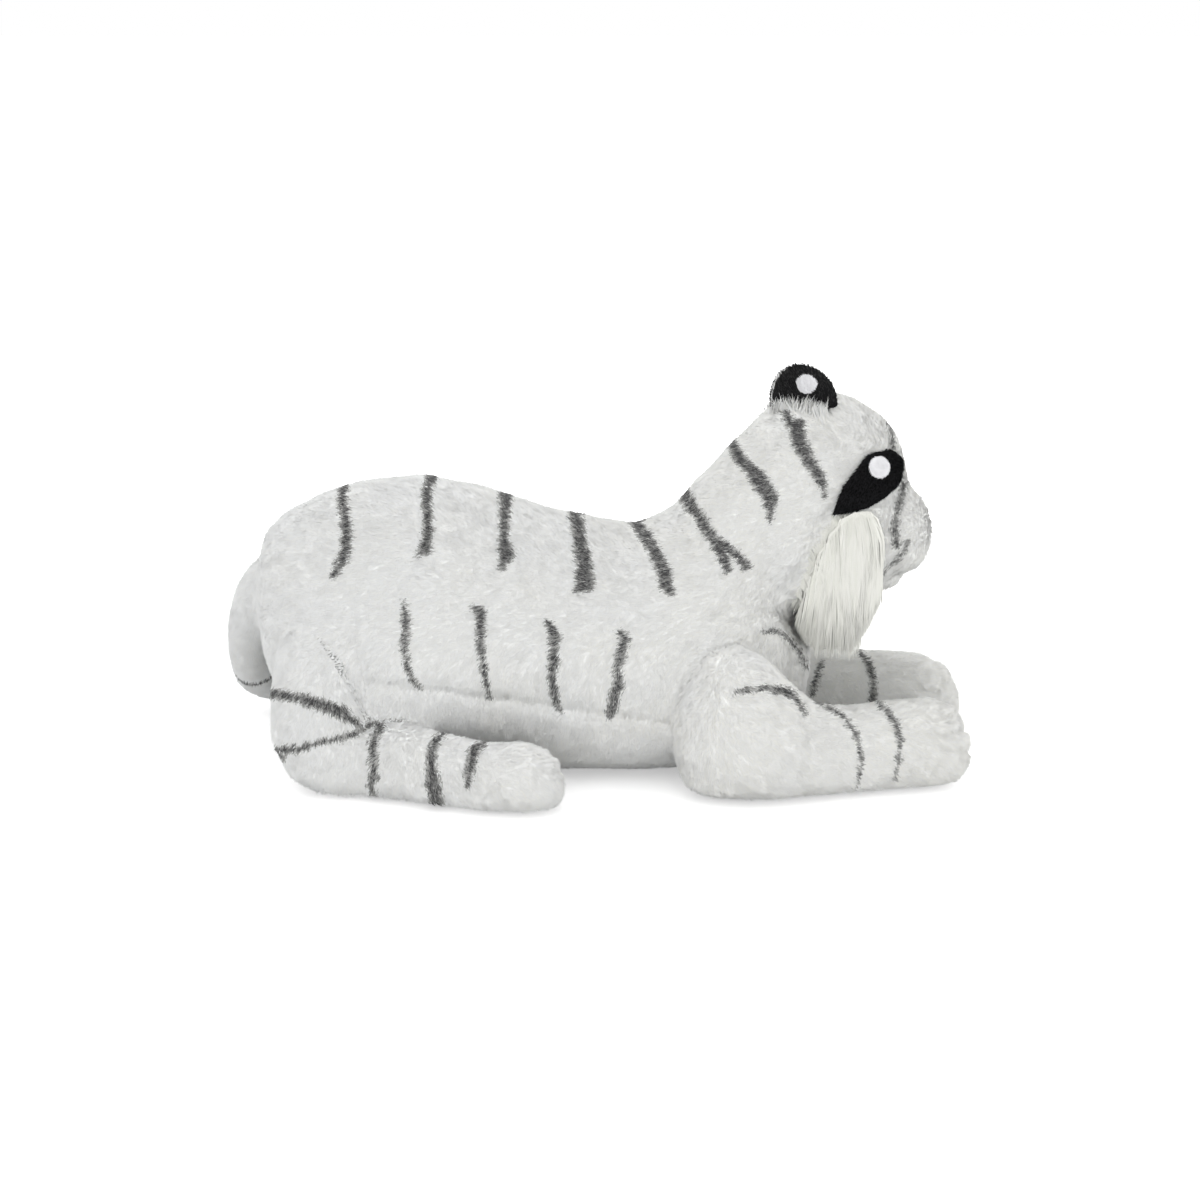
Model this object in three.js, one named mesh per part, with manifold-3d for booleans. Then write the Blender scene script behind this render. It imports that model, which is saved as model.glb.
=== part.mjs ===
// A stuffed tiger lying down, about 640 mm long. +X runs to the head, +Y to the toy's left, +Z up.
// The origin is on the flat of the belly, on the floor and on the centre line. Lengths are millimetres.
import * as THREE from "three";
import { mergeVertices } from "three/addons/utils/BufferGeometryUtils.js";
import Module from "manifold-3d";

const wasm = await Module();
wasm.setup();

// Sizes that every piece shares.
const gap = 0.3; // clearance between two pieces that touch
const sink = 0.5; // depth of the flat that a form rests on
const coverWall = 3; // plush backing with the packed foot of its pile
const cutterReach = 900; // half the side of a box that cuts one side off a piece
const weldDistance = 1e-4; // vertices nearer than this are one
const mirror = new THREE.Matrix4().makeScale(1, -1, 1); // the toy's right side to its left

// The body: a long loaf with a saddle, whose front rises into the neck.
const body = {
  start: { x: -293, y: 0, z: 0 },
  size: { length: 469, height: 249, half: 110, sway: 1 },
  roundness: { above: 2.15, below: 2.7, waistShare: 0.42 },
  // Along the body, top, underside, sideways and half width, each a share of its size.
  rowShares: [
    [0, 0.69, 0.5, 0, 0.22],
    [0.017, 0.81, 0.35, 0, 0.48],
    [0.054, 0.875, 0.19, 0, 0.68],
    [0.118, 0.935, 0.065, 0, 0.85],
    [0.193, 0.98, 0.01, 0, 0.94],
    [0.3, 1, 0, 0, 1],
    [0.408, 0.96, 0, 0, 0.99],
    [0.515, 0.89, 0, 0, 0.965],
    [0.622, 0.845, 0, 0, 0.94],
    [0.687, 0.83, 0, 0, 0.93],
    [0.751, 0.89, 0, 0, 0.92],
    [0.815, 1.02, 0.01, 0, 0.89],
    [0.88, 1.08, 0.03, 0, 0.82],
    [0.944, 0.95, 0.08, 0, 0.7],
    [0.983, 0.72, 0.17, 0, 0.5],
    [1, 0.51, 0.34, 0, 0.2],
  ],
};
const flankSeamHeight = 72; // belly seam over the origin
const flankSeamSlope = 5.6; // degrees, rising to the rear
const rumpSeamSlope = 50; // degrees: behind the haunches the seam climbs to the tail

// Where the neck, the limbs and the tail join the body, as shares of its length, height and half width.
const onBodyShares = {
  rumpSeam: { along: 0.081 },
  neck: { along: 0.87, over: 0.739 },
  foreleg: { along: 0.7463, beside: 1.0364 },
  haunch: { along: 0.03, beside: 0.8182 },
  hindFoot: { along: 0.1727, beside: 1.3636 },
  tail: { along: 0.0192, over: 0.6345, beside: 0.0545 },
  tailTip: { beside: 1.88 },
};
const onBody = ({ along = 0, over = 0, beside = 0 }) => ({
  x: body.start.x + along * body.size.length,
  y: beside * body.size.half,
  z: body.start.z + over * body.size.height,
});

// The neck seam is a flat cut square to the axis that the head turns about.
const neck = { ...onBody(onBodyShares.neck), pitch: 38 };

// The head is drawn upright in its own frame, then turned a little about its middle.
const headSize = { length: 197, height: 195, half: 84, sway: 0 };
const neckInHeadShares = { along: 0.269, over: 0.3077 };
const head = {
  start: {
    x: neck.x - neckInHeadShares.along * headSize.length,
    y: 0,
    z: neck.z - neckInHeadShares.over * headSize.height,
  },
  size: headSize,
  roundness: { above: 2.3, below: 2.2, waistShare: 0.5 },
  rowShares: [
    [0, 0.55, -0.01, 0, 0.8],
    [0.143, 0.677, 0, 0, 0.95],
    [0.25, 0.795, 0, 0, 0.985],
    [0.372, 0.918, 0.01, 0, 1],
    [0.5, 0.98, 0.02, 0, 1],
    [0.653, 1, 0.055, 0, 0.96],
    [0.755, 0.974, 0.1, 0, 0.875],
    [0.867, 0.91, 0.144, 0, 0.74],
    [0.949, 0.81, 0.19, 0, 0.55],
    [0.99, 0.65, 0.31, 0, 0.3],
    [1, 0.55, 0.42, 0, 0.12],
  ],
};
// Where each piece of the face sits, as shares of the head's length, height and half width.
const onHeadShares = {
  middle: { along: 0.4467, over: 0.4718 },
  muzzlePad: { along: 0.959, over: 0.3949, beside: 0.25 },
  chin: { along: 0.878, over: 0.2154 },
  nose: { along: 0.99, over: 0.5026 },
  ruff: { along: 0.4873, over: -0.128, beside: 0.845 },
  eye: { along: 0.6294, over: 0.4667 },
  ear: { along: 0.533, over: 0.93, beside: 0.405 },
};
const onTheHead = ({ along, over, beside = 0 }) => ({
  x: head.start.x + along * head.size.length,
  y: beside * head.size.half,
  z: head.start.z + over * head.size.height,
});
const headPose = { ...onTheHead(onHeadShares.middle), roll: -10 };
const muzzlePad = { ...onTheHead(onHeadShares.muzzlePad), length: 28, half: 25, height: 39 };
const chin = { ...onTheHead(onHeadShares.chin), length: 21, half: 26, height: 17 };
const nose = { ...onTheHead(onHeadShares.nose), length: 13, half: 14, height: 10 };

// The cheek ruff hangs from under the eye to below the chin. Its rows run up its height.
const ruffPlace = onTheHead(onHeadShares.ruff);
const ruff = {
  start: { ...ruffPlace, y: 0 },
  size: { length: 129, height: 73, half: 37, sway: ruffPlace.y },
  roundness: { above: 2, below: 2, waistShare: 0.5 },
  upright: true,
  rowShares: [
    [0, 0.62, 0.2, 0.2, 0.34],
    [0.06, 0.75, 0.1, 0.34, 0.62],
    [0.21, 0.9, 0.02, 0.49, 0.89],
    [0.4, 0.975, 0, 0.65, 1],
    [0.58, 1, 0.025, 0.82, 0.73],
    [0.765, 1, 0.125, 0.97, 0.46],
    [0.93, 0.9, 0.325, 1, 0.3],
    [1, 0.725, 0.525, 0.97, 0.14],
  ],
};

// Eye patches are cut from plush and sewn flat on the head: a drop with its point at the back.
const eye = { ...onTheHead(onHeadShares.eye), length: 64, height: 53, thickness: 2 };
const eyeOutlineShares = [
  [0, 0],
  [0.14, 0.43],
  [0.31, 0.68],
  [0.47, 0.92],
  [0.66, 0.98],
  [0.8, 1],
  [0.97, 0.85],
  [0.95, 0.62],
  [0.86, 0.42],
  [0.47, 0.11],
];
const glintInEyeShares = { along: 0.625, over: 0.736 };
const eyeGlint = {
  x: eye.x + glintInEyeShares.along * eye.length,
  z: eye.z + glintInEyeShares.over * eye.height,
  radius: 9,
  thickness: 1.6,
};

// Each ear is two padded leaves, back and lining, hinged on a line in a pocket of the head.
const ear = { ...onTheHead(onHeadShares.ear), half: 34, height: 35, root: 4, thickness: 4 };
const earSet = { cup: 8, turn: 37, lean: 8 }; // how deep it curls, and degrees it is turned and leant
// Height, a share of the root below the hinge line and of the leaf above it; half width; thickness.
const earRowShares = [
  [-1, 0.9, 0.3],
  [-0.7, 0.95, 0.72],
  [0, 1, 1],
  [0.3, 0.96, 1],
  [0.55, 0.85, 1],
  [0.77, 0.65, 0.95],
  [0.92, 0.41, 0.8],
  [1, 0.17, 0.5],
];
const earPocket = { depth: 4.6, rise: 22, flare: 8 }; // round bottom, then walls that open outwards
const earSpot = { x: -7, radius: 10, heightShare: 0.5, thickness: 1.5 };

// A foreleg: a drumstick from the shoulder, and a forearm that lies forward to the paw.
const forelegPlace = onBody(onBodyShares.foreleg);
const forelegLead = 9; // the left one lies this much further forward
const foreleg = {
  start: { x: forelegPlace.x, y: 0, z: 0 },
  size: { length: 250, height: 132, half: 46, sway: forelegPlace.y },
  roundness: { above: 2.1, below: 2.5, waistShare: 0.44 },
  rowShares: [
    [0, 0.47, 0.21, 0.93, 0.26],
    [0.036, 0.7, 0.06, 0.956, 0.6],
    [0.112, 0.925, 0, 0.98, 0.89],
    [0.204, 1, 0, 1, 0.99],
    [0.292, 0.925, 0, 1, 1],
    [0.38, 0.745, 0, 0.956, 0.93],
    [0.472, 0.59, 0, 0.91, 0.8],
    [0.592, 0.56, 0, 0.83, 0.76],
    [0.732, 0.575, 0, 0.74, 0.78],
    [0.86, 0.575, 0, 0.67, 0.826],
    [0.952, 0.5, 0.015, 0.63, 0.7],
    [1, 0.32, 0.106, 0.615, 0.3],
  ],
};

// A haunch stands upright beside the rump; its rows run up its height.
const haunchPlace = onBody(onBodyShares.haunch);
const haunch = {
  start: { x: haunchPlace.x, y: 0, z: -2 * sink },
  size: { length: 163, height: 110, half: 48, sway: haunchPlace.y },
  roundness: { above: 2.2, below: 2.2, waistShare: 0.5 },
  upright: true,
  rowShares: [
    [0, 0.96, 0.38, 1, 0.667],
    [0.09, 1, 0.15, 0.978, 0.875],
    [0.28, 0.925, 0.03, 0.978, 1],
    [0.51, 0.79, 0.03, 0.86, 0.97],
    [0.71, 0.745, 0.09, 0.79, 0.82],
    [0.89, 0.6, 0.18, 0.72, 0.6],
    [1, 0.475, 0.23, 0.7, 0.4],
  ],
};

// A hind foot lies forward from under the haunch, splayed outwards.
const hindFootPlace = onBody(onBodyShares.hindFoot);
const hindFoot = {
  start: { x: hindFootPlace.x, y: 0, z: 0 },
  size: { length: 183, height: 66, half: 32, sway: hindFootPlace.y },
  roundness: { above: 2.1, below: 2.5, waistShare: 0.45 },
  rowShares: [
    [0, 0.75, 0.2, 0.64, 0.5],
    [0.06, 0.92, 0, 0.68, 0.9],
    [0.23, 1, 0, 0.77, 0.97],
    [0.45, 0.94, 0, 0.887, 0.94],
    [0.65, 0.88, 0, 0.98, 0.95],
    [0.83, 0.9, 0, 1, 1],
    [0.95, 0.74, 0.02, 0.985, 0.78],
    [1, 0.5, 0.17, 0.973, 0.33],
  ],
};

// The tail: a ball in the rump, then a stuffed tube that falls and curls round the left haunch.
const tail = { ...onBody(onBodyShares.tail), radius: 22, tipRadius: 19 };
const tailBack = 40;
const tailReach = {
  x: tailBack,
  y: onBody(onBodyShares.tailTip).y,
  z: tail.z - tail.radius, // down to where it lies on the floor
};
const tailRouteShares = [
  [0, 0, 0],
  [0.33, 0.07, -0.14],
  [0.59, 0.21, -0.4],
  [0.7, 0.37, -0.62],
  [0.71, 0.55, -0.82],
  [0.44, 0.73, -0.95],
  [-0.4, 0.88, -1],
  [-1.5, 0.95, -1],
  [-2.6, 0.985, -1],
  [-3.4, 1, -1],
];
const tailMouthShare = 0.62; // how much of the ball is left in front, where the cover is open

const tailSwing = 30; // degrees, outwards, that the rump's pocket leaves room for
const tailPocketGap = 0.8; // the tail's pocket is cut at a few poses, with room for those between
const tailPocketPoses = 3;

// How finely the forms are drawn: sides round a form, sides round a ball, steps along the tail.
const facets = { body: 24, limb: 14, ball: 12, tailSteps: 14, tailSides: 10, outline: 20, leaf: 6 };

// Turns a closed three.js geometry into a solid that can be joined and cut.
function solid(geometry, matrix = new THREE.Matrix4()) {
  const bare = new THREE.BufferGeometry();
  const source = geometry.index ? geometry.toNonIndexed() : geometry;
  bare.setAttribute("position", source.getAttribute("position").clone());
  bare.applyMatrix4(matrix);
  const merged = mergeVertices(bare, weldDistance);
  const triVerts = new Uint32Array(merged.index.array);
  if (matrix.determinant() < 0) {
    for (let i = 0; i < triVerts.length; i += 3) {
      [triVerts[i + 1], triVerts[i + 2]] = [triVerts[i + 2], triVerts[i + 1]];
    }
  }
  const vertProperties = merged.getAttribute("position").array;
  return new wasm.Manifold(new wasm.Mesh({ numProp: 3, vertProperties, triVerts }));
}

function geometryOf(shape) {
  const { vertProperties, triVerts } = shape.getMesh();
  const geometry = new THREE.BufferGeometry();
  geometry.setAttribute("position", new THREE.BufferAttribute(vertProperties, 3));
  geometry.setIndex(new THREE.BufferAttribute(triVerts, 1));
  const faceted = geometry.toNonIndexed();
  faceted.computeVertexNormals();
  return faceted;
}

// Joins rings of equally many points into one closed skin, with a point at each end.
function skin(rings) {
  const sides = rings[0].length;
  const middleOf = (ring) =>
    ring.reduce((sum, point) => sum.add(point), new THREE.Vector3()).divideScalar(sides);
  const points = [middleOf(rings[0]), ...rings.flat(), middleOf(rings.at(-1))];
  const last = points.length - 1;
  const index = [];
  for (let side = 0; side < sides; side++) {
    const next = (side + 1) % sides;
    index.push(0, 1 + next, 1 + side);
    for (let ring = 0; ring < rings.length - 1; ring++) {
      const low = 1 + ring * sides;
      const high = low + sides;
      // The diagonals of the two sides mirror each other, so that mirrored pieces fit alike.
      if (side >= sides / 4 && side < (3 * sides) / 4) {
        index.push(low + side, low + next, high + next, low + side, high + next, high + side);
      } else {
        index.push(low + side, low + next, high + side, low + next, high + next, high + side);
      }
    }
    const top = last - sides;
    index.push(top + side, top + next, last);
  }
  const geometry = new THREE.BufferGeometry().setFromPoints(points);
  geometry.setIndex(index);
  return geometry;
}

function rounded(value, power) {
  return Math.sign(value) * Math.abs(value) ** (2 / power);
}

// A form that swells and tapers along its rows. grow moves its whole skin out, or in if below zero.
function swell(form, grow = 0, sides = facets.limb) {
  const { start, size, roundness, rowShares } = form;
  const leastShare = 0.25; // of a half width, which a skin moved inwards keeps
  const widen = (half) => Math.max(half + grow, half * leastShare);
  const middle = size.length / 2;
  const stretch = 1 + (2 * grow) / size.length;
  const rings = [];
  for (const [along, top, bottom, side, half] of rowShares) {
    const run = middle + (along * size.length - middle) * stretch;
    const rise = (top - bottom) * size.height + sink;
    const waist = bottom * size.height - sink + rise * roundness.waistShare;
    const up = widen(rise * (1 - roundness.waistShare));
    const down = widen(rise * roundness.waistShare);
    const points = [];
    for (let corner = 0; corner < sides; corner++) {
      const angle = (2 * Math.PI * corner) / sides;
      const above = Math.sin(angle) >= 0;
      const power = above ? roundness.above : roundness.below;
      const across = side * size.sway + widen(half * size.half) * rounded(Math.cos(angle), power);
      const height = waist + (above ? up : down) * rounded(Math.sin(angle), power);
      points.push(
        form.upright
          ? new THREE.Vector3(start.x + height, start.y + across, start.z + run)
          : new THREE.Vector3(start.x + run, start.y + across, start.z + height),
      );
    }
    rings.push(form.upright ? points.reverse() : points);
  }
  return skin(rings);
}

// Half of space, as a box: what lies on the side of the place that the axis points to.
function beyond(place, axis) {
  const box = new THREE.BoxGeometry(2 * cutterReach, 2 * cutterReach, 2 * cutterReach);
  box.translate(0, 0, cutterReach);
  const turn = new THREE.Quaternion().setFromUnitVectors(new THREE.Vector3(0, 0, 1), axis);
  return solid(box.applyQuaternion(turn).translate(place.x, place.y, place.z));
}

const floor = new THREE.Vector3();
const up = new THREE.Vector3(0, 0, 1);
const leftward = new THREE.Vector3(0, 1, 0);
const aboveFloor = beyond(floor, up);
const leftHalf = beyond(leftward.clone().multiplyScalar(gap / 2), leftward);
const rightHalf = beyond(leftward.clone().multiplyScalar(-gap / 2), leftward.clone().negate());

const pitch = THREE.MathUtils.degToRad(neck.pitch);
const neckAxis = new THREE.Vector3(Math.cos(pitch), 0, Math.sin(pitch));
const neckMiddle = new THREE.Vector3(neck.x, 0, neck.z);
const neckFront = beyond(neckMiddle.clone().addScaledVector(neckAxis, gap / 2), neckAxis);
const neckRear = neckMiddle.clone().addScaledVector(neckAxis, -gap / 2);
const neckBack = beyond(neckRear, neckAxis.clone().negate());

function turnAbout(place, axis, degrees) {
  return new THREE.Matrix4()
    .makeTranslation(place)
    .multiply(new THREE.Matrix4().makeRotationAxis(axis, THREE.MathUtils.degToRad(degrees)))
    .multiply(new THREE.Matrix4().makeTranslation(place.clone().negate()));
}

function ellipsoid({ x, y, z, length, half, height }, grow = 0) {
  return new THREE.SphereGeometry(1, facets.ball, (2 * facets.ball) / 3)
    .rotateX(Math.PI / 2)
    .scale(length + grow, half + grow, height + grow)
    .translate(x, y, z);
}

// The tail's route and its tube, with a ball at the root and a rounded tip.
const tailRoot = new THREE.Vector3(tail.x, tail.y, tail.z);
const tailRoute = tailRouteShares.map(
  ([back, sideways, lift]) =>
    new THREE.Vector3(
      tail.x - back * tailReach.x,
      tail.y + sideways * tailReach.y,
      tail.z + lift * tailReach.z,
    ),
);

function tailGeometry(grow = 0) {
  const curve = new THREE.CatmullRomCurve3(tailRoute);
  const frames = curve.computeFrenetFrames(facets.tailSteps);
  const rings = [];
  const addRing = (step, shift, radius) => {
    const middle = curve.getPointAt(step / facets.tailSteps);
    middle.addScaledVector(frames.tangents[step], shift);
    const points = [];
    for (let corner = 0; corner < facets.tailSides; corner++) {
      const angle = (2 * Math.PI * corner) / facets.tailSides;
      points.push(
        middle
          .clone()
          .addScaledVector(frames.normals[step], radius * Math.cos(angle))
          .addScaledVector(frames.binormals[step], radius * Math.sin(angle)),
      );
    }
    rings.push(points);
  };
  const capAngles = [15, 40, 65].map(THREE.MathUtils.degToRad);
  const radiusAt = (step) => {
    const share = step / facets.tailSteps;
    return tail.radius + (tail.tipRadius - tail.radius) * share ** 3 + grow;
  };
  const rootRadius = radiusAt(0);
  const tipRadius = radiusAt(facets.tailSteps);
  for (const angle of capAngles) {
    addRing(0, -rootRadius * Math.cos(angle), rootRadius * Math.sin(angle));
  }
  for (let step = 0; step <= facets.tailSteps; step++) {
    addRing(step, 0, radiusAt(step));
  }
  for (const angle of capAngles.toReversed()) {
    addRing(facets.tailSteps, tipRadius * Math.cos(angle), tipRadius * Math.sin(angle));
  }
  return skin(rings);
}

// A leaf of the ear in its own frame: x along its base, z up, +y to its back.
function earLeaf(inner, outer, grow = 0) {
  const rings = earRowShares.map(([rise, half, thick]) => {
    const height = rise * (rise < 0 ? ear.root : ear.height) + Math.sign(rise) * grow;
    const reach = half * ear.half + grow;
    const point = (across, depth) => {
      const cup = earSet.cup * Math.max(rise, 0) * (1 / 2 - (across / ear.half) ** 2);
      return new THREE.Vector3(across, cup + depth, height);
    };
    const outside = [];
    const inside = [];
    for (let corner = 0; corner <= facets.leaf; corner++) {
      const angle = (Math.PI * corner) / facets.leaf;
      const across = reach * Math.cos(angle);
      outside.push(point(across, inner + (outer * thick - inner) * Math.sin(angle)));
      if (corner > 0 && corner < facets.leaf) {
        inside.unshift(point(across, inner));
      }
    }
    return [...outside, ...inside];
  });
  return skin(outer > inner ? rings : rings.map((ring) => ring.toReversed()));
}

// The pocket that an ear folds in, in the ear's frame: a groove with a round bottom, open upwards.
function earGroove() {
  const outline = new THREE.Shape();
  outline.absarc(0, 0, earPocket.depth, -Math.PI, 0);
  outline.lineTo(earPocket.depth + earPocket.flare, earPocket.rise);
  outline.lineTo(-earPocket.depth - earPocket.flare, earPocket.rise);
  const length = 2 * (ear.half + gap);
  const options = { depth: length, bevelEnabled: false, curveSegments: facets.leaf };
  return new THREE.ExtrudeGeometry(outline, options)
    .translate(0, 0, -length / 2)
    .rotateY(Math.PI / 2)
    .rotateX(Math.PI / 2);
}

// What lies above and below a straight seam that crosses the flank at x.
function seamSides(x, degrees) {
  const radians = THREE.MathUtils.degToRad(degrees);
  const normal = new THREE.Vector3(Math.sin(radians), 0, Math.cos(radians));
  const middle = new THREE.Vector3(x, 0, seamHeightAt(x));
  return {
    above: beyond(middle.clone().addScaledVector(normal, gap / 2), normal),
    below: beyond(middle.clone().addScaledVector(normal, -gap / 2), normal.clone().negate()),
  };
}

// The body: two plush sides and a belly panel round one filling.
const bodyForm = (grow) => solid(swell(body, grow, facets.body));
const seamHeightAt = (x) => flankSeamHeight - x * Math.tan(THREE.MathUtils.degToRad(flankSeamSlope));
const flankSeams = seamSides(0, flankSeamSlope);
const rumpSeams = seamSides(onBody(onBodyShares.rumpSeam).x, rumpSeamSlope);
const aboveSeam = flankSeams.above.intersect(rumpSeams.above);
const belowSeam = flankSeams.below.add(rumpSeams.below);
let tailPocket = solid(tailGeometry(tailPocketGap));
for (let pose = 1; pose < tailPocketPoses; pose++) {
  const degrees = (tailSwing * pose) / (tailPocketPoses - 1);
  tailPocket = tailPocket.add(solid(tailGeometry(tailPocketGap), turnAbout(tailRoot, up, degrees)));
}
const bodyCutter = bodyForm(gap);
const bodyCover = bodyForm(0)
  .intersect(aboveFloor)
  .intersect(neckBack)
  .subtract(bodyForm(-coverWall))
  .subtract(tailPocket);
const bodySide = (half) => bodyCover.intersect(aboveSeam).intersect(half);
const bellyPanel = bodyCover.intersect(belowSeam);
const bodyStuffing = bodyForm(-coverWall - gap).intersect(neckBack).subtract(tailPocket);

// A limb's cover is open where it is sewn on, and its filling shows through to the seam.
function limb(form, carriers) {
  const at = (grow) => solid(swell(form, grow));
  const cut = (shape) => carriers.reduce((left, carrier) => left.subtract(carrier), shape);
  return {
    cover: cut(at(0).intersect(aboveFloor).subtract(at(-coverWall))),
    stuffing: cut(at(-coverWall - gap)),
  };
}

const forelegRight = limb(foreleg, [bodyCutter]);
const forelegLeft = limb({ ...foreleg, start: { ...foreleg.start, x: foreleg.start.x + forelegLead } }, [
  bodyCutter,
]);
const haunchLimb = limb(haunch, [bodyCutter]);
const hindFootLimb = limb(hindFoot, [bodyCutter, solid(swell(haunch, gap))]);

// The tail is open at its root, inside the rump.
const tailDirection = tailRoute[1].clone().sub(tailRoot).normalize();
const tailMouth = tailRoot.clone().addScaledVector(tailDirection, -tail.radius * tailMouthShare);
const behindMouth = beyond(tailMouth, tailDirection);
const tailCover = solid(tailGeometry())
  .intersect(behindMouth)
  .subtract(solid(tailGeometry(-coverWall)));
const tailStuffing = solid(tailGeometry(-coverWall - gap)).intersect(behindMouth);

// The head's own frame, and the neck cut seen from it.
const headMiddle = new THREE.Vector3(headPose.x, headPose.y, headPose.z);
const forward = new THREE.Vector3(1, 0, 0);
const headMatrix = turnAbout(headMiddle, forward, headPose.roll);
const toHead = headMatrix.clone().invert();
const neckInHead = beyond(
  neckMiddle.clone().addScaledVector(neckAxis, gap / 2).applyMatrix4(toHead),
  neckAxis.clone().transformDirection(toHead),
);

// An ear's leaves, drawn for the toy's right ear, and the pocket that it folds in.
const earMatrix = new THREE.Matrix4()
  .makeTranslation(ear.x, -ear.y, ear.z)
  .multiply(new THREE.Matrix4().makeRotationZ(THREE.MathUtils.degToRad(180 - earSet.turn)))
  .multiply(new THREE.Matrix4().makeRotationX(THREE.MathUtils.degToRad(-earSet.lean)));
const earMatrixLeft = new THREE.Matrix4().multiplyMatrices(mirror, earMatrix);
const earBack = solid(earLeaf(gap / 2, ear.thickness), earMatrix);
const earLining = solid(earLeaf(-gap / 2, -ear.thickness), earMatrix);
const spotHeight = ear.height * earSpot.heightShare;
const spotPunch = new THREE.CylinderGeometry(earSpot.radius, earSpot.radius, ear.half, facets.outline);
spotPunch.translate(earSpot.x, ear.half / 2, spotHeight);
const earPatch = solid(earLeaf(gap / 2, ear.thickness + gap + earSpot.thickness), earMatrix)
  .subtract(solid(earLeaf(-gap, ear.thickness + gap, gap), earMatrix))
  .intersect(solid(spotPunch, earMatrix));
const bothGrooves = solid(earGroove(), earMatrix).add(solid(earGroove(), earMatrixLeft));

// Drawn for the toy's right side: the eye outline, pushed through the head.
function eyePunch(outline) {
  const options = { depth: 2 * head.size.half, bevelEnabled: false, curveSegments: facets.outline };
  return new THREE.ExtrudeGeometry(outline, options).rotateX(Math.PI / 2);
}

const eyeCorner = ([along, rise]) =>
  new THREE.Vector2(eye.x + along * eye.length, eye.z + rise * eye.height);
const eyeCurve = new THREE.SplineCurve([...eyeOutlineShares, eyeOutlineShares[0]].map(eyeCorner));
const eyePatchPunch = solid(eyePunch(new THREE.Shape(eyeCurve.getPoints(facets.outline))));
const glintOutline = new THREE.Shape().absarc(eyeGlint.x, eyeGlint.z, eyeGlint.radius, 0, 2 * Math.PI);
const glintPunch = solid(eyePunch(glintOutline));

// The head: two plush sides round one filling, with what is sewn on it.
const headForm = (grow) => solid(swell(head, grow, facets.body));
const headCutter = headForm(gap);
const headCover = headForm(0)
  .intersect(neckInHead)
  .subtract(headForm(-coverWall))
  .subtract(bothGrooves);
const headStuffing = headForm(-coverWall - gap).intersect(neckInHead).subtract(bothGrooves);
const onHead = (low, thickness, punch) =>
  headForm(low + thickness).subtract(headForm(low)).intersect(punch);
const eyePatch = onHead(gap, eye.thickness, eyePatchPunch);
const eyeGlintPatch = onHead(2 * gap + eye.thickness, eyeGlint.thickness, glintPunch);

const padAt = (side, grow) => solid(ellipsoid({ ...muzzlePad, y: side * muzzlePad.y }, grow));
const bothPads = padAt(1, gap).add(padAt(-1, gap));
const muzzle = padAt(-1, 0).intersect(rightHalf).subtract(headCutter);
const chinPad = solid(ellipsoid(chin)).subtract(bothPads).subtract(headCutter);
const nosePad = solid(ellipsoid(nose)).subtract(bothPads).subtract(headCutter);
const faceCutter = headCutter.add(bothPads).add(solid(ellipsoid(chin, gap)));
const eyeStand = headForm(2 * gap + eye.thickness).intersect(eyePatchPunch);
const ruffShape = (matrix, half) =>
  solid(swell(ruff), matrix)
    .intersect(half)
    .intersect(neckInHead)
    .subtract(faceCutter)
    .subtract(eyeStand);
const ruffRight = ruffShape(mirror, rightHalf);
const ruffLeft = solid(swell(ruff))
  .intersect(leftHalf)
  .intersect(neckInHead)
  .subtract(faceCutter)
  .subtract(solid(geometryOf(eyeStand), mirror));

// Plush as seen: white pile, cream ruff, black and white patches, grey-pink nose, white filling.
const finish = (color, roughness) => new THREE.MeshStandardMaterial({ color, roughness, metalness: 0 });
const whitePlush = finish(0xdddedb, 0.95);
const creamPlush = finish(0xdedecf, 0.9);
const blackPlush = finish(0x131415, 0.9);
const glintPlush = finish(0xe4e4e8, 0.9);
const noseVelvet = finish(0xa98a88, 0.85);
const filling = finish(0xf2f2ee, 1);

function piece(name, shape, material) {
  const mesh = new THREE.Mesh(geometryOf(shape), material);
  mesh.name = name;
  return mesh;
}

function group(...pieces) {
  return new THREE.Group().add(...pieces);
}

// The same pieces on both sides: as drawn on one, mirrored on the other.
function pair(drawn, other, make) {
  const mirrored = group(...make(other));
  mirrored.scale.y = -1;
  return group(...make(drawn), mirrored);
}

const torso = group(
  piece("body_side_right", bodySide(rightHalf), whitePlush),
  piece("body_side_left", bodySide(leftHalf), whitePlush),
  piece("belly_panel", bellyPanel, whitePlush),
  piece("body_stuffing", bodyStuffing, filling),
);

const legsOn = (side, forelegLimb) => [
  piece("foreleg_" + side, forelegLimb.cover, whitePlush),
  piece("foreleg_stuffing_" + side, forelegLimb.stuffing, filling),
  piece("haunch_" + side, haunchLimb.cover, whitePlush),
  piece("haunch_stuffing_" + side, haunchLimb.stuffing, filling),
  piece("hind_foot_" + side, hindFootLimb.cover, whitePlush),
  piece("hind_foot_stuffing_" + side, hindFootLimb.stuffing, filling),
];
const legsRight = group(...legsOn("right", forelegRight));
legsRight.scale.y = -1;

const tailGroup = group(piece("tail", tailCover, whitePlush), piece("tail_stuffing", tailStuffing, filling));

const face = pair("right", "left", (side) => [
  piece("muzzle_pad_" + side, muzzle, whitePlush),
  piece("eye_patch_" + side, eyePatch, blackPlush),
  piece("eye_glint_" + side, eyeGlintPatch, glintPlush),
  piece("ear_back_" + side, earBack, blackPlush),
  piece("ear_lining_" + side, earLining, whitePlush),
  piece("ear_spot_" + side, earPatch, glintPlush),
]);

const headGroup = group(
  piece("head_side_right", headCover.intersect(rightHalf), whitePlush),
  piece("head_side_left", headCover.intersect(leftHalf), whitePlush),
  piece("head_stuffing", headStuffing, filling),
  piece("chin", chinPad, whitePlush),
  piece("nose", nosePad, noseVelvet),
  piece("cheek_ruff_right", ruffRight, creamPlush),
  piece("cheek_ruff_left", ruffLeft, creamPlush),
  face,
);
headGroup.applyMatrix4(headMatrix);

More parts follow.
